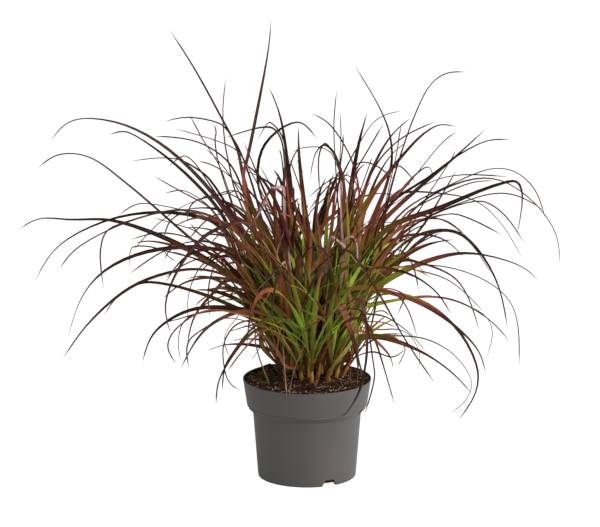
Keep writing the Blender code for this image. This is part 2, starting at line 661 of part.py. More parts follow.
def settle(leaf, shoot, slot, clump):
    """The first heading and width at which a leaf hits nothing, or those with the fewest hits."""
    base, start = shoot.slot_base(slot)
    rings = RULED_RINGS if leaf.pixels is None else OUTLINED_RINGS
    best = None
    for share in WIDTH_TRIES:
        for attempt in range(TURN_TRIES):
            side = 1 if attempt % 2 else -1
            heading = leaf.heading + side * ((attempt + 1) // 2) * TURN_STEP
            if leaf.pixels is not None and abs(math.cos(heading)) < math.cos(MOST_FACING):
                continue
            path = leaf.path(base, start, heading)
            blade = blade_rings(path, heading, leaf.width * share, rings)
            hits = shoot.hits(slot, blade, heading, clump)
            if best is None or hits < best[0]:
                best = (hits, blade, heading)
            if not hits:
                return best
    return best


def swollen(rings, swell):
    """Rings with each corner moved away from the middle of its ring."""
    away = rings - rings.mean(axis=1, keepdims=True)
    return rings + away / np.linalg.norm(away, axis=2, keepdims=True) * swell


def circle(radius, height):
    """Evenly spaced points of a level circle round the pot's axis."""
    turns = [2 * math.pi * k / ROUND_STEPS for k in range(ROUND_STEPS)]
    return [(radius * math.cos(turn), radius * math.sin(turn), height) for turn in turns]


def inner_wall():
    """Radius and height down the pot's inside, from the rim to the base."""
    plate = FOOT_RECESS + BASE_THICKNESS
    taper = (BODY_TOP_RADIUS - BASE_RADIUS) / BODY_TOP_HEIGHT
    rise = WALL * math.tan(math.radians(22.5))
    return [
        (RIM_RADIUS - WALL, POT_HEIGHT - RIM_ROUNDING),
        (COLLAR_END_RADIUS - WALL, COLLAR_END_HEIGHT + rise),
        (BODY_TOP_RADIUS - WALL, BODY_TOP_HEIGHT + rise),
        (BASE_RADIUS + taper * plate - WALL, plate),
    ]


def make_pot_body():
    """The turned body of the pot, from its inside over the rim and down the outside."""
    plate = FOOT_RECESS + BASE_THICKNESS
    profile = [(0, plate)]
    profile += reversed(inner_wall())
    profile += [
        (RIM_RADIUS - WALL + RIM_ROUNDING, POT_HEIGHT),
        (RIM_RADIUS - RIM_ROUNDING, POT_HEIGHT),
        (RIM_RADIUS, POT_HEIGHT - RIM_ROUNDING),
        (COLLAR_END_RADIUS, COLLAR_END_HEIGHT),
        (BODY_TOP_RADIUS, BODY_TOP_HEIGHT),
        (BASE_RADIUS, 2 * BASE_ROUNDING),
        (BASE_RADIUS - BASE_ROUNDING / 3, BASE_ROUNDING / 2),
        (BASE_RADIUS - BASE_ROUNDING, 0),
        (FOOT_RING_INNER, 0),
        (FOOT_RING_INNER - FOOT_RECESS / 3, FOOT_RECESS),
        (BOSS_RADIUS + FOOT_RECESS / 3, FOOT_RECESS),
        (BOSS_RADIUS, 0),
        (0, 0),
    ]
    mesh = bpy.data.meshes.new("pot")
    edges = [(k, k + 1) for k in range(len(profile) - 1)]
    mesh.from_pydata([(radius, 0, height) for radius, height in profile], edges, [])
    pot = bpy.data.objects.new("pot", mesh)
    turned = pot.modifiers.new("Turned", "SCREW")
    turned.axis = "Z"
    turned.steps = ROUND_STEPS
    turned.render_steps = ROUND_STEPS
    turned.use_merge_vertices = True
    turned.merge_threshold = 0.00001
    turned.use_smooth_shade = True
    return pot


def boxes(name, placings):
    """One object made of boxes, each placed by a matrix, with a share that narrows its top."""
    shape = bmesh.new()
    for placing, top_share in placings:
        made = bmesh.ops.create_cube(shape, size=1.0)["verts"]
        for corner in made:
            if corner.co.z > 0:
                corner.co.y *= top_share
        bmesh.ops.transform(shape, matrix=placing, verts=made)
    mesh = bpy.data.meshes.new(name)
    shape.to_mesh(mesh)
    shape.free()
    return bpy.data.objects.new(name, mesh)


def make_rib_blocks():
    """Small upright blocks on the slope under the collar."""
    radius = (COLLAR_END_RADIUS + BODY_TOP_RADIUS) / 2
    height = (COLLAR_END_HEIGHT + BODY_TOP_HEIGHT) / 2
    placings = []
    for group in RIB_GROUPS:
        for k in (-1, 0, 1):
            turn = Matrix.Rotation(math.radians(group + k * RIB_SPACING), 4, "Z")
            tilt = Matrix.Rotation(math.radians(45), 4, "Y")
            size = Matrix.Diagonal((2 * RIB_PROUD, RIB_THICKNESS, RIB_LENGTH, 1))
            placings.append((turn @ Matrix.Translation((radius, 0, height)) @ tilt @ size, 1.0))
    return boxes("rib_blocks", placings)


def make_notch_blocks():
    """Blocks, narrower at the top, that open the drain notches in the foot."""
    placings = []
    for k in range(NOTCH_COUNT):
        turn = Matrix.Rotation(NOTCH_FIRST + 2 * math.pi * k / NOTCH_COUNT, 4, "Z")
        middle = (NOTCH_INNER_RADIUS + NOTCH_OUTER_RADIUS) / 2
        slant = (NOTCH_WIDTH_LOW - NOTCH_WIDTH_HIGH) / NOTCH_HEIGHT
        below = 0.002
        low = NOTCH_WIDTH_LOW + slant * below
        size = (NOTCH_OUTER_RADIUS - NOTCH_INNER_RADIUS, low, NOTCH_HEIGHT + below)
        lift = Matrix.Translation((middle, 0, (NOTCH_HEIGHT - below) / 2))
        placings.append((turn @ lift @ Matrix.Diagonal((*size, 1)), NOTCH_WIDTH_HIGH / low))
    return boxes("notch_blocks", placings)


def add_boolean(thing, name, operation, other):
    step = thing.modifiers.new(name, "BOOLEAN")
    step.operation = operation
    step.solver = "EXACT"
    step.object = other


def make_soil():
    """The soil, a body that follows the pot's inside, with an uneven top."""
    loft = Loft()
    rim, collar, body, base = inner_wall()
    edge_height = POT_HEIGHT - SOIL_EDGE_DROP
    share = (edge_height - collar[1]) / (rim[1] - collar[1])
    edge = (collar[0] + share * (rim[0] - collar[0]), edge_height)
    rings = [loft.put(circle(base[0] - SOIL_GAP, base[1] + SOIL_GAP))]
    for radius, height in (body, collar, edge):
        rings.append(loft.put(circle(radius - SOIL_GAP, height)))
    for radius in SOIL_RINGS:
        rings.append(loft.put([(x, y, soil_height(x, y)) for x, y, level in circle(radius, 0)]))
    loft.faces.append(tuple(reversed(rings[0])))
    for low, high in zip(rings[:-1], rings[1:]):
        loft.wall(low, high)
    middle = loft.put([(0, 0, soil_height(0, 0))])[0]
    for k in range(ROUND_STEPS):
        loft.faces.append((rings[-1][k], rings[-1][(k + 1) % ROUND_STEPS], middle))
    return bpy.data.objects.new("soil", loft.mesh("soil"))


def make_material(name, colour, roughness):
    material = bpy.data.materials.new(name)
    material.use_nodes = True
    shader = material.node_tree.nodes["Principled BSDF"]
    shader.inputs["Base Color"].default_value = colour
    shader.inputs["Roughness"].default_value = roughness
    shader.inputs["Metallic"].default_value = 0.0
    return material


def make_tillers():
    """Places the culms, grows the leaves, and makes each shoot an object."""
    rng = random.Random(SEED)
    shoots = [Shoot(number, rng) for number in range(SHOOTS)]
    clump = Clump()
    clump.add(pot_obstacle(), None)
    for shoot in shoots:
        culm = Loft()
        shoot.add_culm(culm)
        clump.add(culm, shoot.number)
    grow_outlined(shoots, clump)
    grow_ruled(shoots, clump, rng)
    meshes = [shoot.mesh() for shoot in shoots]
    return [bpy.data.objects.new(mesh.name, mesh) for mesh in meshes]


for thing in list(bpy.data.objects):
    bpy.data.objects.remove(thing)

plant = bpy.data.collections.new("Potted_Grass_Clump")
tools = bpy.data.collections.new("Tools")
bpy.context.scene.collection.children.link(plant)
bpy.context.scene.collection.children.link(tools)

pot = make_pot_body()
rib_blocks = make_rib_blocks()
notch_blocks = make_notch_blocks()
add_boolean(pot, "Ribs", "UNION", rib_blocks)
add_boolean(pot, "Notches", "DIFFERENCE", notch_blocks)
for block in (rib_blocks, notch_blocks):
    tools.objects.link(block)
    block.hide_render = True
    block.display_type = "WIRE"

soil = make_soil()
tillers = make_tillers()
pot.data.materials.append(make_material("pot_plastic", POT_COLOUR, POT_ROUGHNESS))
soil.data.materials.append(make_material("potting_soil", SOIL_COLOUR, SOIL_ROUGHNESS))
leaf_material = make_material("leaf", LEAF_COLOUR, LEAF_ROUGHNESS)
for tiller in tillers:
    tiller.data.materials.append(leaf_material)
for thing in (pot, soil, *tillers):
    plant.objects.link(thing)
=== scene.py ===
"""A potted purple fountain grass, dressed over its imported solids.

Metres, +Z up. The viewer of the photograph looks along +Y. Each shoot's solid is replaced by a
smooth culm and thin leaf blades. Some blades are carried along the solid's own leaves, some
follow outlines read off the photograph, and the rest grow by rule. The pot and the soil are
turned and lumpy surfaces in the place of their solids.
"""

import math

import bmesh
import bpy
import numpy as np
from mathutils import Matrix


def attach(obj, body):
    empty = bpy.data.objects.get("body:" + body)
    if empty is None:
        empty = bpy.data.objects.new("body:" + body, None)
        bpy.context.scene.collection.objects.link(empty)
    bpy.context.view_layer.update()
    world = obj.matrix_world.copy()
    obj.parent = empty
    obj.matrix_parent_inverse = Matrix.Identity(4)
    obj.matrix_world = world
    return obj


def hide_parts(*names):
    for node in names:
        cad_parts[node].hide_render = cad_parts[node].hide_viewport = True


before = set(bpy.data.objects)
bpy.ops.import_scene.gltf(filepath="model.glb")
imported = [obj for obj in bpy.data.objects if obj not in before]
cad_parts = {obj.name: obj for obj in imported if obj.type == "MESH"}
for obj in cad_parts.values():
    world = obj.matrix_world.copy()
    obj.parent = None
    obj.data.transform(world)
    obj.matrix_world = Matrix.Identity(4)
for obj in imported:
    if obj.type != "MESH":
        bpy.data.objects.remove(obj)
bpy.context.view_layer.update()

# The photograph's view: picture size and focal length in pixels, the eye's place, the sensor
PICTURE = (600, 527)
FOCAL = 3381.0
EYE = np.array([-0.0104, -4.832, 1.434])
VIEW_PITCH = math.radians(12.97)
SENSOR = 36.0

# Pot, in metres. Its profile runs from the middle of the inside over the rim to the middle of
# the underside: radius, height, and how far from the point its rounding starts
POT_HEIGHT = 0.148
RIM_RADIUS = 0.095
WALL = 0.0015
FOOT_RECESS = 0.003
PLATE = 0.0048
POT_PROFILE = (
    (0, PLATE, 0),
    (0.0716, PLATE, 0.001),
    (0.0787, 0.1005, 0.001),
    (0.0875, 0.1092, 0.001),
    (RIM_RADIUS - WALL, POT_HEIGHT, 0.0007),
    (RIM_RADIUS, POT_HEIGHT, 0.0007),
    (0.0891, 0.1098, 0.0002),
    (0.0884, 0.1093, 0.0001),
    (0.0889, 0.1085, 0.0002),
    (0.0802, 0.0999, 0.0008),
    (0.0725, 0, 0.0016),
    (0.066, 0, 0.0004),
    (0.065, FOOT_RECESS, 0.0004),
    (0.010, FOOT_RECESS, 0.0004),
    (0.009, 0, 0.0004),
    (0, 0, 0),
)
ROUNDING_STEPS = 5
POT_SIDES = 144
SHARP_ANGLE = math.radians(38)

# Drain notches: the first one's place in degrees, how many, inner and outer radius, and
# heights with half widths
NOTCH_FIRST = -63
NOTCHES = 3
NOTCH_RADII = (0.061, 0.085)
NOTCH_LEVELS = ((-0.002, 0.0131), (0.010, 0.0065))

# Ribs under the collar: the middles of their groups and the step between them in degrees,
# radius and height, half of length, width and depth, and the sine of the slope's angle
RIB_GROUPS = (18, 162, 198, 342)
RIB_STEP = 5.5
RIB_PLACE = np.array([0.0846, 0.10425])
RIB_HALF = (0.004, 0.0006, 0.0011)
RIB_SLOPE = 0.7071

# Soil: the mound's height and reach, the edge, the bump's x, y, height and reach, the lumps'
# heights, sizes and seeds, and the body's radii and heights below the top
MOUND = (0.010, 0.072)
SOIL_EDGE_DROP = 0.0035
SOIL_LIFT = 0.0006
SOIL_BUMP = (-0.056, 0.058, 0.008, 0.009)
SOIL_LUMPS = ((0.0016, 0.013, 1), (0.0011, 0.006, 2), (0.0007, 0.0028, 3))
SOIL_EDGE = 0.0929
SOIL_FLOOR = 0.0052
SOIL_BODY = ((0.0711, SOIL_FLOOR), (0.0782, 0.1008), (0.0870, 0.1096))
SOIL_STEPS = 200
SOIL_RINGS = 62

# Crumbs on the soil: how many, how far out, least size, range and power of the size, the size
# left at the pot's wall, the dents, the redder patch's x and reach, and the share of pale ones
CRUMBS = 2600
LITTER_REACH = 0.0915
CRUMB_SIZES = (0.0005, 0.0019, 2.6)
CRUMB_AT_WALL = (0.0012, 0.5, 0.0930)
CRUMB_DENTS = (0.62, 1.25)
RED_PATCH = (-0.072, 0.028)
PALE_SHARE = 0.09
PALE_TONES = (0.8, 1.0)

# Fibres on the soil: how many, reach, lengths, bend in radians, arch, radii, share of pale ones
FIBRES = 640
FIBRE_REACH = 0.087
FIBRE_LENGTHS = (0.004, 0.016)
FIBRE_BEND = 1.6
FIBRE_ARCH = 0.0025
FIBRE_RADII = (0.00014, 0.00042)
FIBRE_PALE = 0.35
FIBRE_STEPS = 6
FIBRE_SIDES = 3

# Leaf blades: steps along them, their section from edge to edge and back underneath, and how
# thick and wide they are; the width's extra is fullest at a place along, with a breadth
BLADE_STEPS = 30
SPLINE_SAMPLES = 24
BEND_SHARE = 0.8
SPREAD = np.array([-1, -0.55, 0, 0.55, 1, 0.55, 0, -0.55])
UNDER = np.array([0, 0, 0, 0, 0, 1, 1, 1])
BLADE_THICKNESS = 0.00034
MIDRIB = 0.0006
MIDRIB_BREADTH = 0.3
UNDER_INSET = 0.15
SLIM_HALF = 0.0012
LEAST_WIDTH = 0.0021
BLADE_FULLER = (1.5, 0.35)
FULLEST = (0.3, 0.22)
TAPER_START = (0.6, 1.6)
TAPER_END = (3.0, 0.85)
FRONT_WIDTH_SHARE = 0.68
FRONT_SLIM = 0.35
FRONT_REACH = (0.12, 0.22)

# How blades fold, with limits in degrees, how they open out of the sheath, how far they turn
# to the photograph's eye, and how they turn and twist on their own
BLADE_FOLD = (8, 26)
SHEATH_FOLD = math.radians(62)
SHEATH_OPENS = 0.05
SHEATH_NARROW = 0.5
SHEATH_LENGTH = 0.075
FRONT_FACING = 0.75
FACING_FULL = 0.33
MOST_TURN = 0.65
WAVES = (1.1, 0.4)
TURN_STARTS = (0.02, 0.35)
TWIST = math.radians(52)
TWIST_LENGTH = 0.4

# Where blades are rooted: below a culm's end or their own opening, out from the culm's axis,
# proud of the opening, widths there, and an outlined leaf's share of the culm
TOP_ROOT = 0.008
SIDE_ROOT = 0.009
ROOT_OUT = 0.0018
ROOT_PROUD = 0.0004
RULED_ROOT_OUT = (0.0016, 0.0022)
ROOT_WIDTHS = (0.0046, 0.0048)
OUTLINE_ROOT = 0.7

# Ripeness: the clump's shaded heart, the weights of the distance from it and of the length,
# the leaf's own share, the rusty foot and its painted shade, the painted lit side, and the dry
# tip
HEART = np.array([0.004, 0.0, 0.235])
HEART_RADII = np.array([0.138, 0.15, 0.15])
HEART_SHARE = 0.42
LENGTH_SHARE = 0.32
FRESH_START = 0.13
RIPE_LENGTH = 0.24
EDGE_RIPENESS = 0.12
OWN_RIPENESS = (0.03, 0.2)
OWN_LIMITS = (-0.27, 0.4)
OWN_LOSS = 0.6
OWN_FADES = (0.9, 1.9)
FOOT_RUST = 0.52
RUST_HEIGHT = 0.078
FOOT_LEVELS = (0.010, 0.095)
FOOT_OWN = 0.3
FOOT_PAINTED_SHADE = 0.45
# painted light: leaves on the right, where the lamps fall, are painted greener and so brighter
LIT_SIDE = (0.02, 0.11)
LIT_FADES = (1.2, 2.0)
LIT_SIDE_PAINTED_GREEN = 0.1
TIP_DRYNESS = 0.3
TIP_STARTS = 0.9

# Culms: how deep they stand, radius, its taper and its neck, where the neck starts, ends and
# comes to a point, the oval, the sheath's lip and the bend
CULM_STEPS = 22
CULM_SIDES = 12
CULM_SUNK = 0.006
CULM_RADIUS = (0.0027, 0.0006, 0.0009)
CULM_NECK = (0.002, 0.006, 0.009)
CULM_OVAL = 0.16
CULM_LIP = (60, 0.2, 0.07)
CULM_BEND = (0.0012, 0.02, 0.01)

# The clump: the knots of a leaf that grows by rule, how its sway grows, the crown and the shoots
RULED_KNOTS = 8
SWAY_POWER = 1.5
CROWN = np.array([0.006, 0.006, 0.148])
CROWN_RADIUS = 0.045
SHOOTS = 37
SEED = 11

# The stage: what the floor and the world give as light, and as brightness to the viewer; and
# the lamps, each with its place, aim, size and power
WORLD_LIGHT = 0.55
WORLD_SEEN = 1.1
FLOOR_HALF = 20
FLOOR_ALBEDO = 0.8
FLOOR_SEEN = (0.25, 0.92)
VIEW_LIMIT = 60
LIGHTS = (
    ("key", (1.6, -1.9, 2.3), (0, 0, 0.3), (1.1, 1.1), 70),
    ("side", (2.2, -0.3, 0.5), (0, 0, 0.15), (0.5, 1.6), 34),
)

# Noise: what scrambles a lattice corner's numbers
SCRAMBLE = (374761393, 668265263, 1442695041, 97531)
STIR = (739982445, 695872825)
LOW_BITS = 0xFFFFFFFF


# Kinds of leaf: how much riper than the rule gives, tone, and how dry; a tone above 1 is a
# painted sheen
LEAF_KINDS = {
    "g": (-0.42, 0.68, 0.0),  # bright green
    "l": (-0.55, 0.9, 0.0),  # lime
    "y": (-0.3, 0.95, 0.12),  # yellow olive
    "o": (-0.2, 0.5, 0.0),  # olive
    "e": (-0.34, 0.35, 0.0),  # deep green
    "b": (0.05, 0.5, 0.0),  # burgundy
    "d": (0.25, 0.1, 0.0),  # near black
    "r": (0.22, 0.9, 0.1),  # rust
    "m": (0.32, 1.04, 0.0),  # wine red, well lit
    "v": (0.12, 1.6, 0.0),  # purple with a painted pink-grey sheen
    "p": (0.05, 1.75, 0.05),  # pink-grey painted sheen
    "w": (0.0, 2.0, 0.1),  # pale painted sheen
    "t": (0.0, 0.8, 0.75),  # straw
}

# Leaves that the solids leave out, read from the photograph: side, turn of the upright
# plane towards the viewer in degrees, width in mm, kind, and the outline in pixels
SIDE_OUTLINES = (
    ("left", -5, 1.8, "b", "235,262 215,246 203,237 192,229.5 "
     "180,225.5 170,222.5 160,219.5 153,218"),
    ("left", -50, 2, "b", "219,165 216,150 215,140 216,132 214,124"),
    ("left", -25, 2, "b", "222,172 211,152 203,140 195,125 188,112"),
    ("left", -50, 3, "d", "275,342 262,340 250,339 240,339 232,341"),
    ("left", 20, 2, "b", "344,190 337,165 331,153 321,147.5 310,147 300,148.5 292,153"),
    ("left", -10, 1.8, "b", "225,262 200,249 180,245.5 168,246.5 "
     "164,249.5 167,255 172,259 178,261.5"),
    ("left", 5, 2.2, "b", "245,290 222,272 206,264 195,259 185,255.5 177,253 170,252"),
    ("left", 35, 2, "b", "240,193 215,195 200,199 193,203 189.5,208 188,214 187,223"),
    ("left", 35, 1.8, "b", "255,322 236,325 226,338 223,350 224,365 227,378 233,386 240,390"),
    ("right", 20, 2.2, "b", "368,318 376,312 383,311 390,316"),
    ("right", 25, 2.2, "b", "385,335 397,339 403,345 405,350 402,358 397,367"),
    ("right", 30, 2, "d", "372,352 391,357 398,355 405,349"),
    ("right", 0, 1.6, "b", "393,170 397,152 399,138 402,121"),
    ("right", 0, 1.4, "b", "352,215 356,203 362,186 367,172 371,161 372,157"),
    ("right", 10, 1.6, "b", "425,200 438,180 447,166 452,158 455.5,150"),
)

# Leaves at the front of the clump: width in mm, kind, depth along y at the start and the tip in
# mm, and the outline in pixels
FRONT_OUTLINES = (
    (11, "b", -18, -30, "285,290 285,262 284.5,240 284,215 283.5,195 284,178 285,165 286,155"),
    (11, "b", -25, -38, "283,275 280,255 277,235 275.5,215 274.5,200 275,190 277,180 280,172"),
    (6.5, "p", -30, -75, "284,200 283,188 279,187 272,189 267,195 "
     "264,204 260,212 255,219 250,226 245,233 240,239"),
    (5.5, "p", -45, -70, "289,250 289,232 286,228 282,237 279,245 277.5,253 276,260"),
    (5.5, "p", -50, -80, "290,280 285,262 281,266 276,271 270,277 264,283 257,291"),
    (2.2, "t", -50, -60, "262,240 266,246 271,254 275,260 280,267 284,270.5 289,272"),
    (5.5, "w", -35, -60, "344,262 345,243 347,237.5 351,236.5 "
     "355,239 357,245 357.5,253 357.5,262 358,268"),
    (5, "v", -40, -55, "326,262 329,242 332,237 338,241 345,247 "
     "351,254 357,262 364,271 371,281 377,291 383,301"),
    (9, "r", -45, -30, "301,305 306,287 313,270 320,258 327,247 333,238 338,227 343,212"),
    (6, "r", -52, -35, "356,335 352,308 348.5,290 346,275 344,260 342.5,245 341,230"),
    (5, "v", -40, -30, "343,250 342,232 341,215 340.5,200 340,190 341,178"),
    (13, "m", -38, -104, "325,310 326,298 331,295 337,301 342,309 "
     "347,320 351,332 355,345 358,358 360,368"),
    (9, "l", -60, -62, "318,352 323,341 329,334.5 336,328 343,321 348,315"),
    (5, "g", -62, -58, "312,350 312,336 311,326 309,315 306,305 302,295 298,285 295,277"),
    (5, "g", -50, -45, "285,320 283,310 281,300 278,290 275,280 272,270 270,260"),
    (9, "o", -62, -68, "316,347 307,336 297,329 287,320 277,311 268,303 260,296 252,289"),
    (6.5, "g", -40, -30, "276,310 272,300 266,290 260,278 254,265 249,253 244,242 240,233"),
    (7, "g", -48, -40, "303,310 300,292 297,277 293,262 289,248 286,236 283,225"),
    (6, "g", -30, -15, "305,290 304,270 303.5,255 303,242 303.5,230 305,218"),
    (6, "g", -50, -48, "332,310 334,297 335.5,285 337,275 339,266 342,255"),
    (6, "o", -30, -20, "320,285 319,265 318,252 317,240 316,228 316,215"),
    (8, "y", -42, -30, "346,295 352,281 358,271 364,262 370,254 377,244 384,233"),
    (6, "e", -66, -62, "300,352 294,341 288,332 283,325 279,317 276,309"),
    (3, "r", -74, -66, "277,354 278,343 279,334 282,328 286,325"),
    (2, "t", -62, -60, "326,302 328,287 331,275 334,268 339,265"),
    (7, "o", -30, -22, "262,320 258,305 254,290 248,272 243,258 238,243"),
    (6, "b", -48, -40, "262,345 262,325 263,305 266,285 268,268 268,250 266,235"),
    (7, "o", -54, -48, "296,345 294,325 291,308 289,292 287,278 286,262"),
    (7, "b", -30, -20, "300,285 296,262 292,245 291,232"),
    (7, "b", -28, -16, "312,300 311,275 309,250 306,232 303,215 301,200"),
    (6, "r", -30, -18, "322,270 321,250 319,232 317,215 317,200 318,190"),
    (8, "b", -30, -20, "328,260 331,235 333,215 334,200 336,185 338,170"),
    (7, "o", -36, -26, "345,290 347,265 348,245 348,225 347,205 346,190"),
    (7, "b", -30, -15, "352,290 358,262 363,240 370,222 377,205 384,188"),
    (6, "g", -46, -40, "330,345 336,330 342,315 346,300 349,285 352,272"),
    (5, "o", -56, -52, "340,345 348,332 355,318 361,305 366,292 371,280"),
    (6, "y", -58, -50, "330,372 338,360 346,350 354,338 360,326 365,314"),
    (5, "b", -60, -62, "290,350 280,338 270,330 260,322 250,316 240,312"),
    (5, "r", -66, -70, "285,366 278,352 270,342 262,334 252,328 243,325"),
    (2.4, "t", -10, -37, "262,322 255,335 256,345 260,360 265,373 270,386"),
    (3.4, "r", -40, -103, "325,312 318,322 311,333 305,345 300,355 295,368 291,383 289,398"),
    (2.8, "t", -18, -102, "290,310 285,325 283,342 284,360 285,375 287,397"),
    (3.4, "r", 5, -20, "335,340 340,355 349,366 350,383"),
    (2.5, "b", 10, 23, "306,300 304,250 303,210 302,190 301,180 303,170"),
    (2, "b", 15, 24, "330,250 338,190 341,160 343,145 343,132"),
    (3.2, "r", -62, -97, "352,335 359,362 363,380 358,395 350,408 344,415 334,418"),
)

# Leaves that grow by rule, in three habits: how many, launch and fall in degrees, power of the
# fall, length in mm, width in mm, and share of the culm under the leaf
HABITS = (
    (76, (68, 91), (35, 145), (1.4, 2.6), (300, 440), (4.0, 7.0), (0.6, 1.0)),
    (104, (56, 90), (5, 75), (1.2, 2.6), (200, 310), (4.0, 6.8), (0.5, 1.0)),
    (46, (48, 84), (10, 60), (1.2, 2.4), (100, 180), (2.6, 4.4), (0.6, 1.0)),
)
MOST_SWAY = math.radians(42)
SIDEWAYS_SHORTER = 0.28
HEADING_SPREAD = 0.62


def unit(vectors):
    """Vectors, one or a row each, at length one."""
    return vectors / np.linalg.norm(vectors, axis=-1, keepdims=True)


def smooth_step(value, low, high):
    """0 below low, 1 above high, and 3t^2 - 2t^3 between them."""
    t = np.clip((value - low) / (high - low), 0, 1)
    return t * t * (3 - 2 * t)


def lattice_noise(points, size, seed=0):
    """Smooth noise between -1 and 1.

    Each corner of a cubic lattice has a scrambled value, and the eight values round a point
    are blended with 3t^2 - 2t^3 along x, y and z.
    """
    spots = np.asarray(points) / size
    cell = np.floor(spots).astype(np.int64)
    share = spots - cell
    share = share * share * (3 - 2 * share)
    total = np.zeros(spots.shape[:-1])
    a, b, c, d = SCRAMBLE
    for corner in np.ndindex(2, 2, 2):
        x, y, z = np.moveaxis(cell + corner, -1, 0)
        stirred = (x * a + y * b + z * c + seed * d) & LOW_BITS
        stirred = ((stirred ^ (stirred >> 15)) * STIR[0]) & LOW_BITS
        stirred = ((stirred ^ (stirred >> 12)) * STIR[1]) & LOW_BITS
        value = (stirred ^ (stirred >> 15)) / (LOW_BITS // 2) - 1
        total += np.prod(np.where(corner, share, 1 - share), axis=-1) * value
    return total


def spline(knots, start):
    """A cubic through the knots that leaves the first one along start.

    The slope at a knot is the mean of the chords on both sides, weighted by the root of their
    lengths. Returns the curve, with SPLINE_SAMPLES places a stretch, and the length along it.
    """
    chords = np.diff(knots, axis=0)
    steps = np.sqrt(np.linalg.norm(chords, axis=1))
    slopes = chords / steps[:, None]
    tangents = np.empty_like(knots)
    before, after = steps[:-1, None], steps[1:, None]
    tangents[1:-1] = (slopes[:-1] * after + slopes[1:] * before) / (before + after)
    tangents[0] = start * np.linalg.norm(slopes[0])
    tangents[-1] = 1.5 * slopes[-1] - 0.5 * tangents[-2]
    t = np.linspace(0, 1, SPLINE_SAMPLES, endpoint=False)[None, :, None]
    a, b = knots[:-1, None], knots[1:, None]
    m = tangents[:-1, None] * steps[:, None, None]
    n = tangents[1:, None] * steps[:, None, None]
    curve = (2 * t**3 - 3 * t**2 + 1) * a + (t**3 - 2 * t**2 + t) * m
    curve = curve + (3 * t**2 - 2 * t**3) * b + (t**3 - t**2) * n
    curve = np.vstack([curve.reshape(-1, 3), knots[-1]])
    reach = np.concatenate([[0], np.cumsum(np.linalg.norm(np.diff(curve, axis=0), axis=1))])
    return curve, reach


def rows_at(wanted, given, rows):
    """Rows of numbers given at some places, read at others by straight lines between them."""
    return np.column_stack([np.interp(wanted, given, row) for row in np.transpose(rows)])


def above_foot(spots):
    """0 at the level of the soil, and 1 above the crowded feet of the shoots."""
    return smooth_step(spots[..., 2] - CROWN[2], *FOOT_LEVELS)


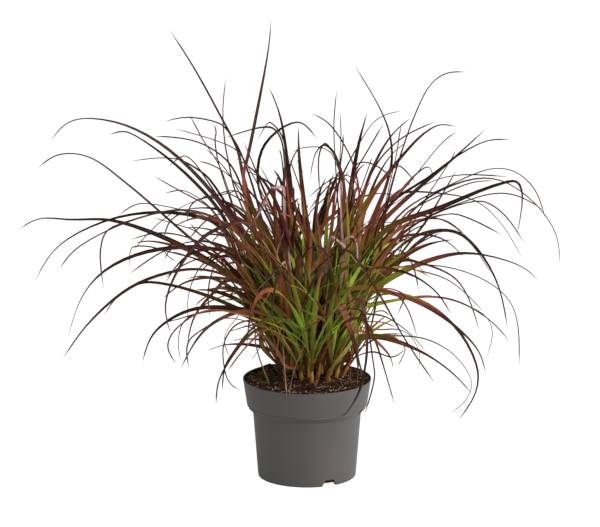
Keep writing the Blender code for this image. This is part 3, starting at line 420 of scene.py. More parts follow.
class Blade:
    """One leaf: its centre line, upper side and width at even steps, and its tones."""

    def __init__(self, knots, start, uppers, widths, rng):
        curve, reach = spline(np.array(knots), start)
        turns = np.linalg.norm(np.diff(unit(np.diff(curve, axis=0)), axis=0), axis=1)
        share = np.diff(reach) / reach[-1]
        share[1:] += BEND_SHARE * turns / max(turns.sum(), 1e-6)
        progress = np.concatenate([[0], np.cumsum(share)])
        wanted = np.interp(np.linspace(0, progress[-1], BLADE_STEPS + 1), progress, reach)
        self.line = rows_at(wanted, reach, curve)
        self.reach = wanted
        self.length = reach[-1]
        at_knots = reach[::SPLINE_SAMPLES]
        self.upper = rows_at(wanted, at_knots, uppers)
        off_fullest = (wanted / self.length - FULLEST[0]) / FULLEST[1]
        fuller = BLADE_FULLER[0] + BLADE_FULLER[1] * np.exp(-(off_fullest**2))
        fuller *= 1 - SHEATH_NARROW * (1 - smooth_step(wanted, 0.0, SHEATH_LENGTH))
        self.width = np.maximum(fuller * np.interp(wanted, at_knots, widths), LEAST_WIDTH)
        self.wobble = rng.uniform(-1, 1, 4)
        self.fold = math.radians(rng.uniform(*BLADE_FOLD))
        self.tone = rng.uniform(0, 1)
        self.ripe = np.clip(rng.normal(*OWN_RIPENESS), *OWN_LIMITS)
        self.dry = 0.0

    def take_kind(self, letter):
        """The leaf's look by letter: how much riper, its tone and how dry it is."""
        self.ripe, self.tone, self.dry = LEAF_KINDS[letter]

    def grid(self):
        """The blade's corners, a ring of eight at each step.

        Across it, u runs from edge to edge. The upper face rises from the midrib towards both
        edges as a share of 0.45|u| + 0.55u^2, and the under face lies a thickness below, with a
        rounded midrib. The section turns to and fro along the leaf.
        """
        tangent = unit(np.gradient(self.line, axis=0))
        side = unit(np.cross(self.upper, tangent))
        over = np.cross(tangent, side)
        along = self.reach / self.length
        wave = self.wobble
        waves = along * (WAVES[0] + WAVES[1] * wave[1]) + wave[2]
        turn = MOST_TURN * wave[0] * np.sin(2 * math.pi * waves)
        turn *= smooth_step(along, *TURN_STARTS)
        turn = turn[:, None]
        across = side * np.cos(turn) + over * np.sin(turn)
        above = over * np.cos(turn) - side * np.sin(turn)
        opened = smooth_step(self.reach, 0.0, SHEATH_OPENS)
        fold = np.tan(SHEATH_FOLD * (1 - opened) + self.fold * (1 - 0.5 * along) * opened)
        half = self.width / 2
        rise = 0.45 * np.abs(SPREAD) + 0.55 * SPREAD**2
        rib = MIDRIB * np.exp(-((SPREAD / MIDRIB_BREADTH) ** 2))
        thick = BLADE_THICKNESS + rib * UNDER
        slim = np.minimum(1, half / SLIM_HALF)
        lift = (half * fold)[:, None] * rise - slim[:, None] * thick * UNDER
        spots = self.line[:, None] + across[:, None] * (half[:, None] * SPREAD)[..., None]
        return spots + above[:, None] * lift[..., None]

    def ripeness(self, spots):
        """How red each corner is: 0 fresh green, 1 dark burgundy.

        It grows with the distance from the shaded heart of the clump, and with the length
        along the leaf, sooner at the edges. Close above the soil it rises again towards rust.
        A leaf's own ripeness counts in full in the heart, and less outside it and at its foot.
        Painted light: the side that the lamps fall on, at the right, is painted greener near the
        heart.
        """
        heart = np.linalg.norm((spots - HEART) / HEART_RADII, axis=-1)
        edge = EDGE_RIPENESS * np.abs(SPREAD) ** 2
        far = (self.reach[: len(spots)] / RIPE_LENGTH)[:, None] + edge
        low = FOOT_RUST * np.exp(-(((spots[..., 2] - CROWN[2]) / RUST_HEIGHT) ** 2))
        own = self.ripe * (1 - OWN_LOSS * smooth_step(heart, *OWN_FADES))
        own = own * (FOOT_OWN + (1 - FOOT_OWN) * above_foot(spots))
        painted_lit_side = smooth_step(spots[..., 0], *LIT_SIDE) * (1 - smooth_step(heart, *LIT_FADES))
        rule = HEART_SHARE * heart + LENGTH_SHARE * far - FRESH_START
        return rule + low + own - LIT_SIDE_PAINTED_GREEN * painted_lit_side


def placed(name, data):
    """A new object in the scene, at the origin."""
    made = bpy.data.objects.new(name, data)
    bpy.context.scene.collection.objects.link(made)
    return made


class Skin:
    """Corners and faces of a piece, gathered from grids, with numbers at each corner."""

    def __init__(self):
        self.corners = []
        self.loops = []
        self.sizes = []
        self.slots = []
        self.numbers = []
        self.count = 0

    def add(self, corners, faces, numbers, slot=0):
        """Corners, faces of one size given as rows of corner numbers, and four numbers each."""
        self.corners.append(corners.reshape(-1, 3))
        count = len(self.corners[-1])
        self.numbers.append(np.broadcast_to(numbers, (count, 4)))
        for rows in faces:
            self.loops.append((rows + self.count).ravel())
            self.sizes.append(np.full(len(rows), rows.shape[1]))
            self.slots.append(np.full(len(rows), slot))
        self.count += count

    def piece(self, name, materials):
        """The gathered skin as an object; the numbers become the attribute called traits."""
        mesh = bpy.data.meshes.new(name)
        corners = np.concatenate(self.corners)
        loops = np.concatenate(self.loops)
        sizes = np.concatenate(self.sizes)
        mesh.vertices.add(len(corners))
        mesh.vertices.foreach_set("co", corners.ravel())
        mesh.loops.add(len(loops))
        mesh.loops.foreach_set("vertex_index", loops)
        mesh.polygons.add(len(sizes))
        mesh.polygons.foreach_set("loop_start", np.concatenate([[0], np.cumsum(sizes)[:-1]]))
        mesh.polygons.foreach_set("material_index", np.concatenate(self.slots))
        mesh.polygons.foreach_set("use_smooth", np.ones(len(sizes), dtype=bool))
        mesh.update(calc_edges=True)
        traits = mesh.attributes.new("traits", "FLOAT_COLOR", "POINT")
        traits.data.foreach_set("color", np.concatenate(self.numbers).astype(np.float32).ravel())
        for material in materials:
            mesh.materials.append(material)
        return placed(name, mesh)


def ring_faces(rings, sides):
    """Quads between neighbouring closed rings, each numbered from its ring's first corner."""
    ring, side = np.meshgrid(np.arange(rings - 1), np.arange(sides), indexing="ij")
    after = (side + 1) % sides
    quads = [ring * sides + side, ring * sides + after]
    quads += [(ring + 1) * sides + after, (ring + 1) * sides + side]
    return np.stack(quads, axis=-1).reshape(-1, 4)


def fan(first, sides, point):
    """Triangles from a ring to a point past its end."""
    side = np.arange(sides)
    return np.column_stack([first + side, first + (side + 1) % sides, np.full(sides, point)])


def lathe(profile, steps, start=0.0):
    """A closed turned surface: each (radius, height) of the profile becomes a level ring.

    The first and last points lie on the axis and close the surface.
    """
    turns = start + np.linspace(0, 2 * math.pi, steps, endpoint=False)
    radius, height = np.array(profile[1:-1]).T
    x = radius[:, None] * np.cos(turns)
    y = radius[:, None] * np.sin(turns)
    z = np.broadcast_to(height[:, None], x.shape)
    rings = np.stack([x, y, z], axis=-1).reshape(-1, 3)
    ends = [(0, 0, profile[0][1]), (0, 0, profile[-1][1])]
    return np.vstack([rings, ends])


def lathe_faces(rings, steps):
    """The faces of a closed turned surface whose profile runs outwards and then back in."""
    last = (rings - 1) * steps
    return [
        ring_faces(rings, steps),
        fan(last, steps, rings * steps + 1),
        fan(0, steps, rings * steps)[:, ::-1],
    ]


# Shoots: what their solids say, and the leaves that grow from them


def read_shoot(name):
    """A shoot's solid read back: its culm's foot, axis and length, and its leaves' rings.

    A leaf is a chain of three-cornered rings that ends in a tip with three neighbours. The
    chain ends at the opening in the culm that the leaf grows from.
    """
    shape = bmesh.new()
    shape.from_mesh(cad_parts[name].data)
    bmesh.ops.remove_doubles(shape, verts=shape.verts, dist=0.000005)
    shape.verts.index_update()
    corners = np.array([corner.co for corner in shape.verts])
    joined = [{edge.other_vert(one).index for edge in one.link_edges} for one in shape.verts]
    shape.free()
    chains = []
    in_leaves = set()
    for tip in range(len(corners)):
        ring, seen, rings = joined[tip], {tip}, []
        while len(ring) == 3:
            rings.append(corners[sorted(ring)])
            seen |= ring
            ring = set().union(*(joined[k] for k in ring)) - seen
        if len(rings) > 4:
            chains.append((corners[sorted(ring)], rings[::-1], corners[tip]))
            in_leaves |= seen
    chains.sort(key=lambda chain: tuple(chain[2].round(3)))
    culm = corners[sorted(set(range(len(corners))) - in_leaves)]
    culm = culm[np.argsort(culm[:, 2])]
    foot = culm[:6].mean(axis=0)
    axis = unit(culm[6:].mean(axis=0) - foot)
    return foot, axis, ((culm - foot) @ axis).max(), chains


class Shoot:
    """A shoot: its culm's foot, axis and length, and the blades that grow from it."""

    def __init__(self, name, rng):
        self.name = name
        self.foot, self.axis, self.length, chains = read_shoot(name)
        self.blades = []
        for chain in chains:
            blade = leaf_from_chain(self.foot, self.axis, self.length, chain, rng)
            self.blades.append(blade)


def leaf_from_chain(foot, axis, length, chain, rng):
    """A blade along the middles of a leaf solid's rings.

    The keel is the corner off the longest side. The upper side faces away from it. A leaf that
    reaches towards the photograph's eye is slimmer, because it is nearest to it.
    """
    opening, rings, tip = chain
    rooted = opening.mean(axis=0)
    height = (rooted - foot) @ axis
    outward = rooted - foot - axis * height
    on_top = len(opening) > 4
    if on_top:
        knots = [foot + axis * (length - TOP_ROOT), foot + axis * length]
    else:
        outward = unit(outward)
        inside = foot + axis * (height - SIDE_ROOT) + outward * ROOT_OUT
        knots = [inside, rooted + outward * ROOT_PROUD]
    uppers, widths, last = [], [], None
    for ring in rings:
        best = None
        for keel in range(3):
            one, other = ring[(keel + 1) % 3], ring[(keel + 2) % 3]
            rise = (one + other) / 2 - ring[keel]
            worth = np.linalg.norm(one - other) if last is None else unit(rise) @ last * 0.01
            if best is None or worth > best[0]:
                best = (worth, (one + other) / 2, unit(rise), np.linalg.norm(one - other))
        last = best[2]
        knots.append(best[1])
        uppers.append(best[2])
        widths.append(best[3])
    facing = uppers[0] if on_top else unit(0.6 * uppers[0] - outward)
    uppers = [facing, facing] + uppers + [uppers[-1]]
    slim = 1 - FRONT_SLIM * smooth_step(-tip[1], *FRONT_REACH)
    widths = np.array([*ROOT_WIDTHS, *widths, 0.0]) * slim
    return Blade(knots + [tip], axis, np.array(uppers), widths, rng)


def heading_vector(angle):
    """The level direction at an angle from +X."""
    return np.array([math.cos(angle), math.sin(angle), 0.0])


def sideways(heading):
    """The level direction square to a heading, to its left."""
    return np.array([-math.sin(heading), math.cos(heading), 0.0])


def sight_rays(pixels):
    """The directions of the sight lines through pixels, one unit long along the view."""
    forward = np.array([0, math.cos(VIEW_PITCH), -math.sin(VIEW_PITCH)])
    upward = np.array([0, math.sin(VIEW_PITCH), math.cos(VIEW_PITCH)])
    across = (pixels[:, :1] - PICTURE[0] / 2) / FOCAL
    above = (PICTURE[1] / 2 - pixels[:, 1:]) / FOCAL
    return forward + across * np.array([1.0, 0, 0]) + above * upward


def on_upright_plane(pixels, point, heading):
    """Where the sight lines through pixels meet the upright plane through a point."""
    rays = sight_rays(pixels)
    normal = sideways(heading)
    distance = normal @ (point - EYE) / (rays @ normal)
    return EYE + distance[:, None] * rays


def sight_line_at(pixels, depths):
    """Where the sight lines through pixels reach given depths along y."""
    rays = sight_rays(pixels)
    return EYE + rays * ((depths - EYE[1]) / rays[:, 1])[:, None]


def drawn_leaf(knots, heading, width, axis, rng, facing=0.0):
    """A blade along knots that leave a culm, its upper side square to the heading at first.

    The width is narrow at the sheath, soon full, and tapers to the tip. Facing is the share by
    which a broad side is turned to the photograph's eye, from a third on in full.
    """
    knots = np.array(knots)
    reach = np.concatenate([[0], np.cumsum(np.linalg.norm(np.diff(knots, axis=0), axis=1))])
    along = reach / reach[-1]
    tangents = unit(np.gradient(knots, axis=0))
    level = sideways(heading)
    side = unit(level - tangents * (tangents @ level)[:, None])
    over = np.cross(tangents, side)
    twist = (TWIST * math.cos(heading) * np.minimum(1, along / TWIST_LENGTH))[:, None]
    upper = over * np.cos(twist) - side * np.sin(twist)
    towards = unit(EYE - knots)
    towards = unit(towards - tangents * (tangents * towards).sum(axis=1, keepdims=True))
    towards *= np.sign((upper * towards).sum())
    share = facing * smooth_step(along, 0.0, FACING_FULL)[:, None]
    upper = unit(upper * (1 - share) + towards * share)
    opening = np.minimum(1, TAPER_START[0] + TAPER_START[1] * along)
    widths = width * opening * (1 - along ** TAPER_END[0]) ** TAPER_END[1]
    return Blade(knots, axis, upper, widths, rng)


def ruled_knots(base, heading, length, launch, fall, power, sway):
    """Knots of a leaf that climbs, arches over and droops.

    Its angle above level falls from the launch angle with a power of the length, and its
    heading sways off with the length to the power of 1.5.
    """
    along = np.linspace(0, 1, RULED_KNOTS)
    angle = launch - fall * along**power
    steps = np.diff(along) * length
    middle = (angle[:-1] + angle[1:]) / 2
    way = heading + sway * ((along[:-1] + along[1:]) / 2) ** SWAY_POWER
    flat = np.cos(middle) * steps
    paces = np.stack([flat * np.cos(way), flat * np.sin(way), np.sin(middle) * steps], axis=-1)
    return base + np.vstack([np.zeros(3), np.cumsum(paces, axis=0)])


def numbers_of(text):
    """Rows of numbers from a text with a space between points and commas inside them."""
    return np.array([[float(part) for part in point.split(",")] for point in text.split()])


def nearest_shoot(shoots, start):
    """The shoot that an outline starts over: its foot is nearest to the start's place, drawn
    in to the crown."""
    flat = start[:2] - CROWN[:2]
    wanted = CROWN[:2] + flat * min(1, CROWN_RADIUS / np.linalg.norm(flat))
    return min(shoots, key=lambda shoot: np.linalg.norm(shoot.foot[:2] - wanted))


def outlined_leaf(shoots, points, heading, width, kind, rng, facing=0.0):
    """A blade from the nearest shoot's culm through the points of an outline."""
    shoot = nearest_shoot(shoots, points[0])
    base = shoot.foot + shoot.axis * shoot.length * OUTLINE_ROOT
    knots = np.vstack([base - shoot.axis * TOP_ROOT, base, points])
    blade = drawn_leaf(knots, heading, width / 1000, shoot.axis, rng, facing)
    blade.take_kind(kind)
    shoot.blades.append(blade)


def ruled_leaf(shoot, habit, rng):
    """A blade that leaves the side of a culm by rule, its numbers drawn between a habit's limits.

    It heads away from the crown's middle, the more surely the farther out its culm stands, and
    is shorter the more it heads sideways, because the outlines give the long leaves there.
    """
    launches, falls, powers, lengths, widths, shares = habit
    from_middle = (shoot.foot - CROWN)[:2]
    distance = min(1, np.linalg.norm(from_middle) / CROWN_RADIUS)
    outward = math.atan2(from_middle[1], from_middle[0])
    heading = outward + math.pi * (1 - HEADING_SPREAD * distance) * rng.uniform(-1, 1)
    launch, fall = np.radians([rng.uniform(*launches), rng.uniform(*falls)])
    power = rng.uniform(*powers)
    sway = rng.uniform(-MOST_SWAY, MOST_SWAY)
    length = rng.uniform(*lengths) / 1000 * (1 - SIDEWAYS_SHORTER * abs(math.cos(heading)))
    width = rng.uniform(*widths) / 1000
    height = shoot.length * rng.uniform(*shares)
    out = heading_vector(heading)
    out = unit(out - shoot.axis * (out @ shoot.axis))
    base = shoot.foot + shoot.axis * height + out * RULED_ROOT_OUT[1]
    low = shoot.foot + shoot.axis * (height - SIDE_ROOT) + out * RULED_ROOT_OUT[0]
    knots = ruled_knots(base, heading, length, launch, fall, power, sway)
    shoot.blades.append(drawn_leaf(np.vstack([low, knots]), heading, width, shoot.axis, rng))


def add_blade(skin, blade):
    """Puts a blade into a skin: rings, a point at the tip and one face across the foot."""
    spots = blade.grid()[:-1]
    ripe = blade.ripeness(spots)
    across = np.broadcast_to(0.5 + 0.5 * SPREAD * (1 - UNDER_INSET * UNDER), ripe.shape)
    # painted shade: a leaf's tone is darkened towards the soil, where the shoots' feet crowd
    tones = blade.tone * (FOOT_PAINTED_SHADE + (1 - FOOT_PAINTED_SHADE) * above_foot(spots))
    at_tip = smooth_step(blade.reach / blade.length, TIP_STARTS, 1.0)
    dry = np.clip(blade.dry + TIP_DRYNESS * at_tip, 0, 1)
    numbers = np.stack([ripe, across, tones, np.broadcast_to(dry[:-1, None], ripe.shape)], -1)
    tip_numbers = numbers[-1:, 2].copy()
    tip_numbers[0, 3] = dry[-1]
    corners = np.vstack([spots.reshape(-1, 3), blade.line[-1:]])
    sides = len(SPREAD)
    foot = np.arange(sides)[None, ::-1]
    faces = [
        ring_faces(BLADE_STEPS, sides),
        fan((BLADE_STEPS - 1) * sides, sides, BLADE_STEPS * sides),
        foot,
    ]
    skin.add(corners, faces, np.vstack([numbers.reshape(-1, 4), tip_numbers]))


def add_culm(skin, foot, axis, length, rng):
    """A culm as a tube of nested sheaths.

    Its section is an oval that tapers upwards, with a lip that winds up round it where the
    sheaths overlap. It narrows into the top leaf.
    """
    steps, sides = CULM_STEPS, CULM_SIDES
    full, taper, neck = CULM_RADIUS
    starts, ends, point = CULM_NECK
    climb, open_share, proud = CULM_LIP
    sway, wave, level = CULM_BEND
    along = np.linspace(-CULM_SUNK, length + ends, steps)
    turns = np.linspace(0, 2 * math.pi, sides, endpoint=False)
    away = unit(np.cross(axis, [0.3, 0.9, 0.1]))
    over = np.cross(axis, away)
    radius = full - taper * smooth_step(along, 0, length)
    radius = radius - neck * smooth_step(along, length - starts, length + ends)
    oval = 1 + CULM_OVAL * np.cos(2 * (turns + rng.uniform(0, 3)))
    lip = np.sin(turns[None] - along[:, None] * climb + rng.uniform(0, 6)) > open_share
    spread = radius[:, None] * oval * (1 + proud * lip)
    spots = foot + axis * along[:, None, None]
    round_it = away * np.cos(turns)[:, None] + over * np.sin(turns)[:, None]
    spots = spots + round_it * spread[..., None]
    bent = sway * np.sin(along / wave + rng.uniform(0, 6))
    spots = spots + away * bent[:, None, None] * smooth_step(along, 0.0, level)[:, None, None]
    tone = rng.uniform(0, 1)
    grown = np.clip(along / max(length, 0.03), 0, 1)
    numbers = np.zeros((steps, sides, 4))
    numbers[..., 0] = grown[:, None]
    numbers[..., 1] = turns / (2 * math.pi)
    numbers[..., 2] = tone
    numbers[..., 3] = lip
    corners = np.vstack([spots.reshape(-1, 3), foot + axis * (length + point)])
    faces = [
        ring_faces(steps, sides),
        fan((steps - 1) * sides, sides, steps * sides),
        np.arange(sides)[None, ::-1],
    ]
    skin.add(corners, faces, np.vstack([numbers.reshape(-1, 4), numbers[-1, :1]]), slot=1)


# Materials


def node(tree, kind, inputs=None, **settings):
    """A shader node with its settings; inputs are numbers, or sockets to join."""
    made = tree.nodes.new(kind)
    for name, value in settings.items():
        setattr(made, name, value)
    for key, value in (inputs or {}).items():
        if isinstance(value, bpy.types.NodeSocket):
            tree.links.new(value, made.inputs[key])
        else:
            made.inputs[key].default_value = value
    return made


def maths(tree, operation, *values, clamp=False):
    """A sum worked out from numbers or sockets."""
    made = node(tree, "ShaderNodeMath", dict(enumerate(values)), operation=operation)
    made.use_clamp = clamp
    return made.outputs[0]


def mixed(tree, share, one, other):
    """One colour with a share of another laid over it."""
    made = node(tree, "ShaderNodeMix", {0: share, 6: one, 7: other}, data_type="RGBA")
    return made.outputs[2]


def ramp(tree, value, stops):
    """A colour ramp with (place, colour) stops."""
    made = node(tree, "ShaderNodeValToRGB", {0: value})
    marks = made.color_ramp.elements
    while len(marks) < len(stops):
        marks.new(0.5)
    for mark, (place, colour) in zip(marks, stops):
        mark.position = place
        mark.color = (*colour, 1.0)
    return made.outputs[0]


def between(tree, value, low, high):
    """0 below low and 1 above high, on a straight line between them."""
    return ramp(tree, value, ((low, (0, 0, 0)), (high, (1, 1, 1))))


def swung(tree, noise, amount, onto):
    """A noise's distance from a half, times an amount, on top of a value."""
    return maths(tree, "MULTIPLY_ADD", maths(tree, "SUBTRACT", noise, 0.5), amount, onto)


def lit_by(tree, value, colour):
    """A colour with its brightness multiplied by a value."""
    return node(tree, "ShaderNodeHueSaturation", {"Value": value, "Color": colour}).outputs[0]


def traits_of(tree):
    """The four numbers that a piece carries at its corners."""
    traits = node(tree, "ShaderNodeAttribute", attribute_name="traits")
    parts = node(tree, "ShaderNodeSeparateColor", {0: traits.outputs["Color"]}).outputs
    return parts[0], parts[1], parts[2], traits.outputs["Alpha"]


def noise_value(tree, vector, scale, detail, roughness=0.55):
    """Noise between 0 and 1."""
    inputs = {"Vector": vector, "Scale": scale, "Detail": detail, "Roughness": roughness}
    return node(tree, "ShaderNodeTexNoise", inputs).outputs[0]


def new_material(name, roughness, **sockets):
    """A material with its Principled shader's plain numbers set on the shader's own sockets."""
    material = bpy.data.materials.new(name)
    material.use_nodes = True
    shader = material.node_tree.nodes["Principled BSDF"]
    shader.inputs["Roughness"].default_value = roughness
    for key, value in sockets.items():
        shader.inputs[key.replace("_", " ")].default_value = value
    return material, material.node_tree, shader


def bump(tree, shader, height, strength, distance):
    """Roughens a shader's normal by a height."""
    inputs = {"Height": height, "Strength": strength, "Distance": distance}
    made = node(tree, "ShaderNodeBump", inputs)
    tree.links.new(made.outputs[0], shader.inputs["Normal"])


def new_group(name, inputs, outputs, fill):
    """A shader node group: named number or vector inputs, and outputs worked out by fill."""
    tree = bpy.data.node_groups.new(name, "ShaderNodeTree")
    for label, kind in inputs:
        tree.interface.new_socket(label, in_out="INPUT", socket_type=kind)
    for label in outputs:
        tree.interface.new_socket(label, in_out="OUTPUT", socket_type="NodeSocketFloat")
    entry = tree.nodes.new("NodeGroupInput").outputs
    leave = tree.nodes.new("NodeGroupOutput").inputs
    for label, value in zip(outputs, fill(tree, entry)):
        tree.links.new(value, leave[label])
    return tree


def veins_group():
    """Fine lines along a leaf: noise that is stretched along it and changes quickly across."""

    def fill(tree, entry):
        spots = {
            0: maths(tree, "MULTIPLY", entry["Across"], entry["Lines"]),
            1: maths(tree, "MULTIPLY", entry["Seed"], 40.0),
            2: maths(tree, "MULTIPLY", entry["Along"], 4.0),
        }
        return [noise_value(tree, node(tree, "ShaderNodeCombineXYZ", spots).outputs[0], 1.0, 1.5)]

    inputs = [(name, "NodeSocketFloat") for name in ("Across", "Along", "Seed", "Lines")]
    return new_group("veins", inputs, ["Streak"], fill)


def grit_group():
    """Coarse and fine noise, and a shade that is the coarse with 0.8 of the fine on it."""

    def fill(tree, entry):
        coarse = noise_value(tree, entry["Vector"], entry["Coarse scale"], 4.0, 0.6)
        fine = noise_value(tree, entry["Vector"], entry["Fine scale"], 3.0, 0.7)
        shade = swung(tree, fine, 0.8, coarse)
        return [coarse, fine, shade]

    inputs = [("Vector", "NodeSocketVector")]
    inputs += [(name, "NodeSocketFloat") for name in ("Coarse scale", "Fine scale")]
    return new_group("grit", inputs, ["Coarse", "Fine", "Shade"], fill)


def veined(tree, across, along, seed, lines):
    """The streaks of the veins group."""
    inputs = {"Across": across, "Along": along, "Seed": seed, "Lines": lines}
    return node(tree, "ShaderNodeGroup", inputs, node_tree=GROUPS["veins"]).outputs[0]


def gritty(tree, coarse, fine):
    """The coarse, fine and mixed noise of the grit group over the object's own place."""
    inputs = {"Vector": object_place(tree), "Coarse scale": coarse, "Fine scale": fine}
    return node(tree, "ShaderNodeGroup", inputs, node_tree=GROUPS["grit"]).outputs


def object_place(tree):
    """A place in the object's own coordinates."""
    return node(tree, "ShaderNodeTexCoord").outputs["Object"]


# Leaf colours by ripeness, from fresh to dark burgundy, then the parts laid over them
LEAF_STOPS = (
    (0.0, (0.24, 0.36, 0.024)),
    (0.18, (0.165, 0.250, 0.016)),
    (0.36, (0.180, 0.175, 0.014)),
    (0.50, (0.185, 0.095, 0.016)),
    (0.62, (0.172, 0.048, 0.019)),
    (0.80, (0.132, 0.028, 0.018)),
    (1.0, (0.026, 0.009, 0.009)),
)
DRY_STOPS = ((0.3, (0.30, 0.19, 0.10)), (0.7, (0.46, 0.34, 0.20)))
RIB_COLOUR = (0.26, 0.17, 0.07, 1)
EDGE_HIGHLIGHT_COLOUR = (0.44, 0.32, 0.25, 1)
SHEEN_PAINT_COLOUR = (0.50, 0.34, 0.35, 1)
LEAF_VEINS = 16.0
LEAF_LIGHT = (1.45, 0.34)
LEAF_ROUGHNESS = (0.22, 0.30)
RIB_SHARPNESS = 14.0
EDGE_HIGHLIGHT_BAND = (0.38, 0.47)


def make_leaf_material():
    """A satin leaf: green where shaded, burgundy outside, with veins, and a dry tip.

    The midrib is paler, and a painted highlight lightens the edges of a green leaf. A tone
    above 1 lays a painted pale pink-grey sheen over it.
    """
    material, tree, shader = new_material("leaf_blade", 0.4, Specular_IOR_Level=0.07)
    ripe, across, tone, dry = traits_of(tree)
    mottle = noise_value(tree, object_place(tree), 42.0, 3.0)
    streak = veined(tree, across, ripe, tone, LEAF_VEINS)
    shade = swung(tree, streak, 0.35, swung(tree, mottle, 0.5, ripe))
    # the tone is a leaf's own brightness, darkened near the soil as painted shade; above 1 it
    # adds a painted sheen
    lit = maths(tree, "MULTIPLY_ADD", maths(tree, "MINIMUM", tone, 1.0), *LEAF_LIGHT)
    colour = lit_by(tree, swung(tree, streak, 1.6, lit), ramp(tree, shade, LEAF_STOPS))
    off_middle = maths(tree, "ABSOLUTE", maths(tree, "SUBTRACT", across, 0.5))
    off_rib = maths(tree, "MULTIPLY", off_middle, RIB_SHARPNESS)
    rib = maths(tree, "SUBTRACT", 1.0, off_rib, clamp=True)
    colour = mixed(tree, maths(tree, "MULTIPLY", rib, 0.3), colour, RIB_COLOUR)
    # painted highlight: pale pinkish edges on the greener leaves
    unripe = maths(tree, "SUBTRACT", 1.0, ripe, clamp=True)
    painted_edge_highlight = maths(tree, "MULTIPLY", between(tree, off_middle, *EDGE_HIGHLIGHT_BAND), unripe)
    colour = mixed(tree, maths(tree, "MULTIPLY", painted_edge_highlight, 0.5), colour, EDGE_HIGHLIGHT_COLOUR)
    # painted sheen: a tone above 1 lays a pale pink-grey highlight over the leaf
    painted_sheen = maths(tree, "SUBTRACT", tone, 1.0, clamp=True)
    colour = mixed(tree, maths(tree, "MULTIPLY", painted_sheen, 0.9), colour, SHEEN_PAINT_COLOUR)
    colour = mixed(tree, dry, colour, ramp(tree, mottle, DRY_STOPS))
    tree.links.new(colour, shader.inputs["Base Color"])
    gloss = maths(tree, "MULTIPLY_ADD", streak, *LEAF_ROUGHNESS)
    gloss = maths(tree, "MULTIPLY_ADD", dry, 0.3, gloss)
    tree.links.new(gloss, shader.inputs["Roughness"])
    bump(tree, shader, streak, 0.35, 0.0004)
    return material


# Sheath colours from the foot up, of the rusty and of the fresh culms
WARM_STOPS = (
    (0.0, (0.26, 0.070, 0.018)),
    (0.5, (0.42, 0.16, 0.028)),
    (1.0, (0.34, 0.20, 0.030)),
)
FRESH_STOPS = (
    (0.0, (0.28, 0.11, 0.022)),
    (0.45, (0.46, 0.30, 0.040)),
    (1.0, (0.26, 0.27, 0.030)),
)
SHEATH_LINES = 30.0
SHEATH_LIGHT = 1.9
FRESH_TONES = (0.5, 0.75)


def make_sheath_material():
    """A culm's sheaths: rust and tan at the foot, olive or yellow-green above, finely ribbed."""
    material, tree, shader = new_material("leaf_sheath", 0.42, Specular_IOR_Level=0.3)
    grown, turn, tone, _ = traits_of(tree)
    streak = veined(tree, turn, grown, tone, SHEATH_LINES)
    up = swung(tree, streak, 0.5, grown)
    freshness = between(tree, tone, *FRESH_TONES)
    colour = mixed(tree, freshness, ramp(tree, up, WARM_STOPS), ramp(tree, up, FRESH_STOPS))
    colour = lit_by(tree, maths(tree, "MULTIPLY", streak, SHEATH_LIGHT), colour)
    tree.links.new(colour, shader.inputs["Base Color"])
    bump(tree, shader, streak, 0.5, 0.0005)
    return material


# Pot colours: the plastic's two greys, the dust, where it lies and how much of it there is
POT_GREYS = ((0.053, 0.051, 0.048, 1), (0.075, 0.071, 0.067, 1))
POT_DUST = (0.115, 0.088, 0.066, 1)
DUST_LIES = (0.48, 0.72)
DUST_SHARE = 0.32


def make_pot_material():
    """Dark grey moulded plastic: a soft sheen, fine grain, faint scuffs and dried soil dust."""
    material, tree, shader = new_material("pot_plastic", 0.42)
    broad, fine, _ = gritty(tree, 9.0, 900.0)
    dust = maths(tree, "MULTIPLY", between(tree, broad, *DUST_LIES), DUST_SHARE)
    colour = mixed(tree, dust, mixed(tree, fine, *POT_GREYS), POT_DUST)
    tree.links.new(colour, shader.inputs["Base Color"])
    tree.links.new(maths(tree, "MULTIPLY_ADD", broad, 0.18, 0.36), shader.inputs["Roughness"])
    bump(tree, shader, fine, 0.12, 0.0004)
    return material


SOIL_STOPS = (
    (0.30, (0.006, 0.004, 0.0025)),
    (0.52, (0.030, 0.014, 0.007)),
    (0.78, (0.115, 0.052, 0.022)),
)
CRUMB_STOPS = (
    (0.0, (0.010, 0.006, 0.004)),
    (0.5, (0.035, 0.018, 0.010)),
    (0.72, (0.15, 0.060, 0.022)),
    (0.86, (0.36, 0.15, 0.055)),
    (1.0, (0.60, 0.46, 0.28)),
)


def make_soil_material():
    """Moist peat: near black, and browner where it is dry."""
    material, tree, shader = new_material("potting_soil", 0.92, Specular_IOR_Level=0.12)
    shade = gritty(tree, 110.0, 700.0)["Shade"]
    tree.links.new(ramp(tree, shade, SOIL_STOPS), shader.inputs["Base Color"])
    bump(tree, shader, shade, 0.9, 0.002)
    return material


def make_crumb_material():
    """Crumbs, fibres and bark bits; each piece's tone picks peat, red-brown, rust or straw."""
    material, tree, shader = new_material("soil_crumbs", 0.85, Specular_IOR_Level=0.2)
    tone = traits_of(tree)[0]
    fine = gritty(tree, 400.0, 1500.0)["Fine"]
    lit = maths(tree, "MULTIPLY_ADD", fine, 1.2, 0.4)
    colour = lit_by(tree, lit, ramp(tree, tone, CRUMB_STOPS))
    tree.links.new(colour, shader.inputs["Base Color"])
    bump(tree, shader, fine, 0.6, 0.0008)
    return material


# Pot


def rounded(rows):
    """A profile whose corners are rounded: each corner becomes a parabola between points at
    its own distance before and after it."""
    points = np.array(rows)[:, :2]
    out = [points[0]]
    for before, corner, after, row in zip(points[:-2], points[1:-1], points[2:], rows[1:-1]):
        first = corner + unit(before - corner) * row[2]
        last = corner + unit(after - corner) * row[2]
        for t in np.linspace(0, 1, ROUNDING_STEPS):
            out.append((1 - t) ** 2 * first + 2 * t * (1 - t) * corner + t * t * last)
    out.append(points[-1])
    return [tuple(point) for point in out]


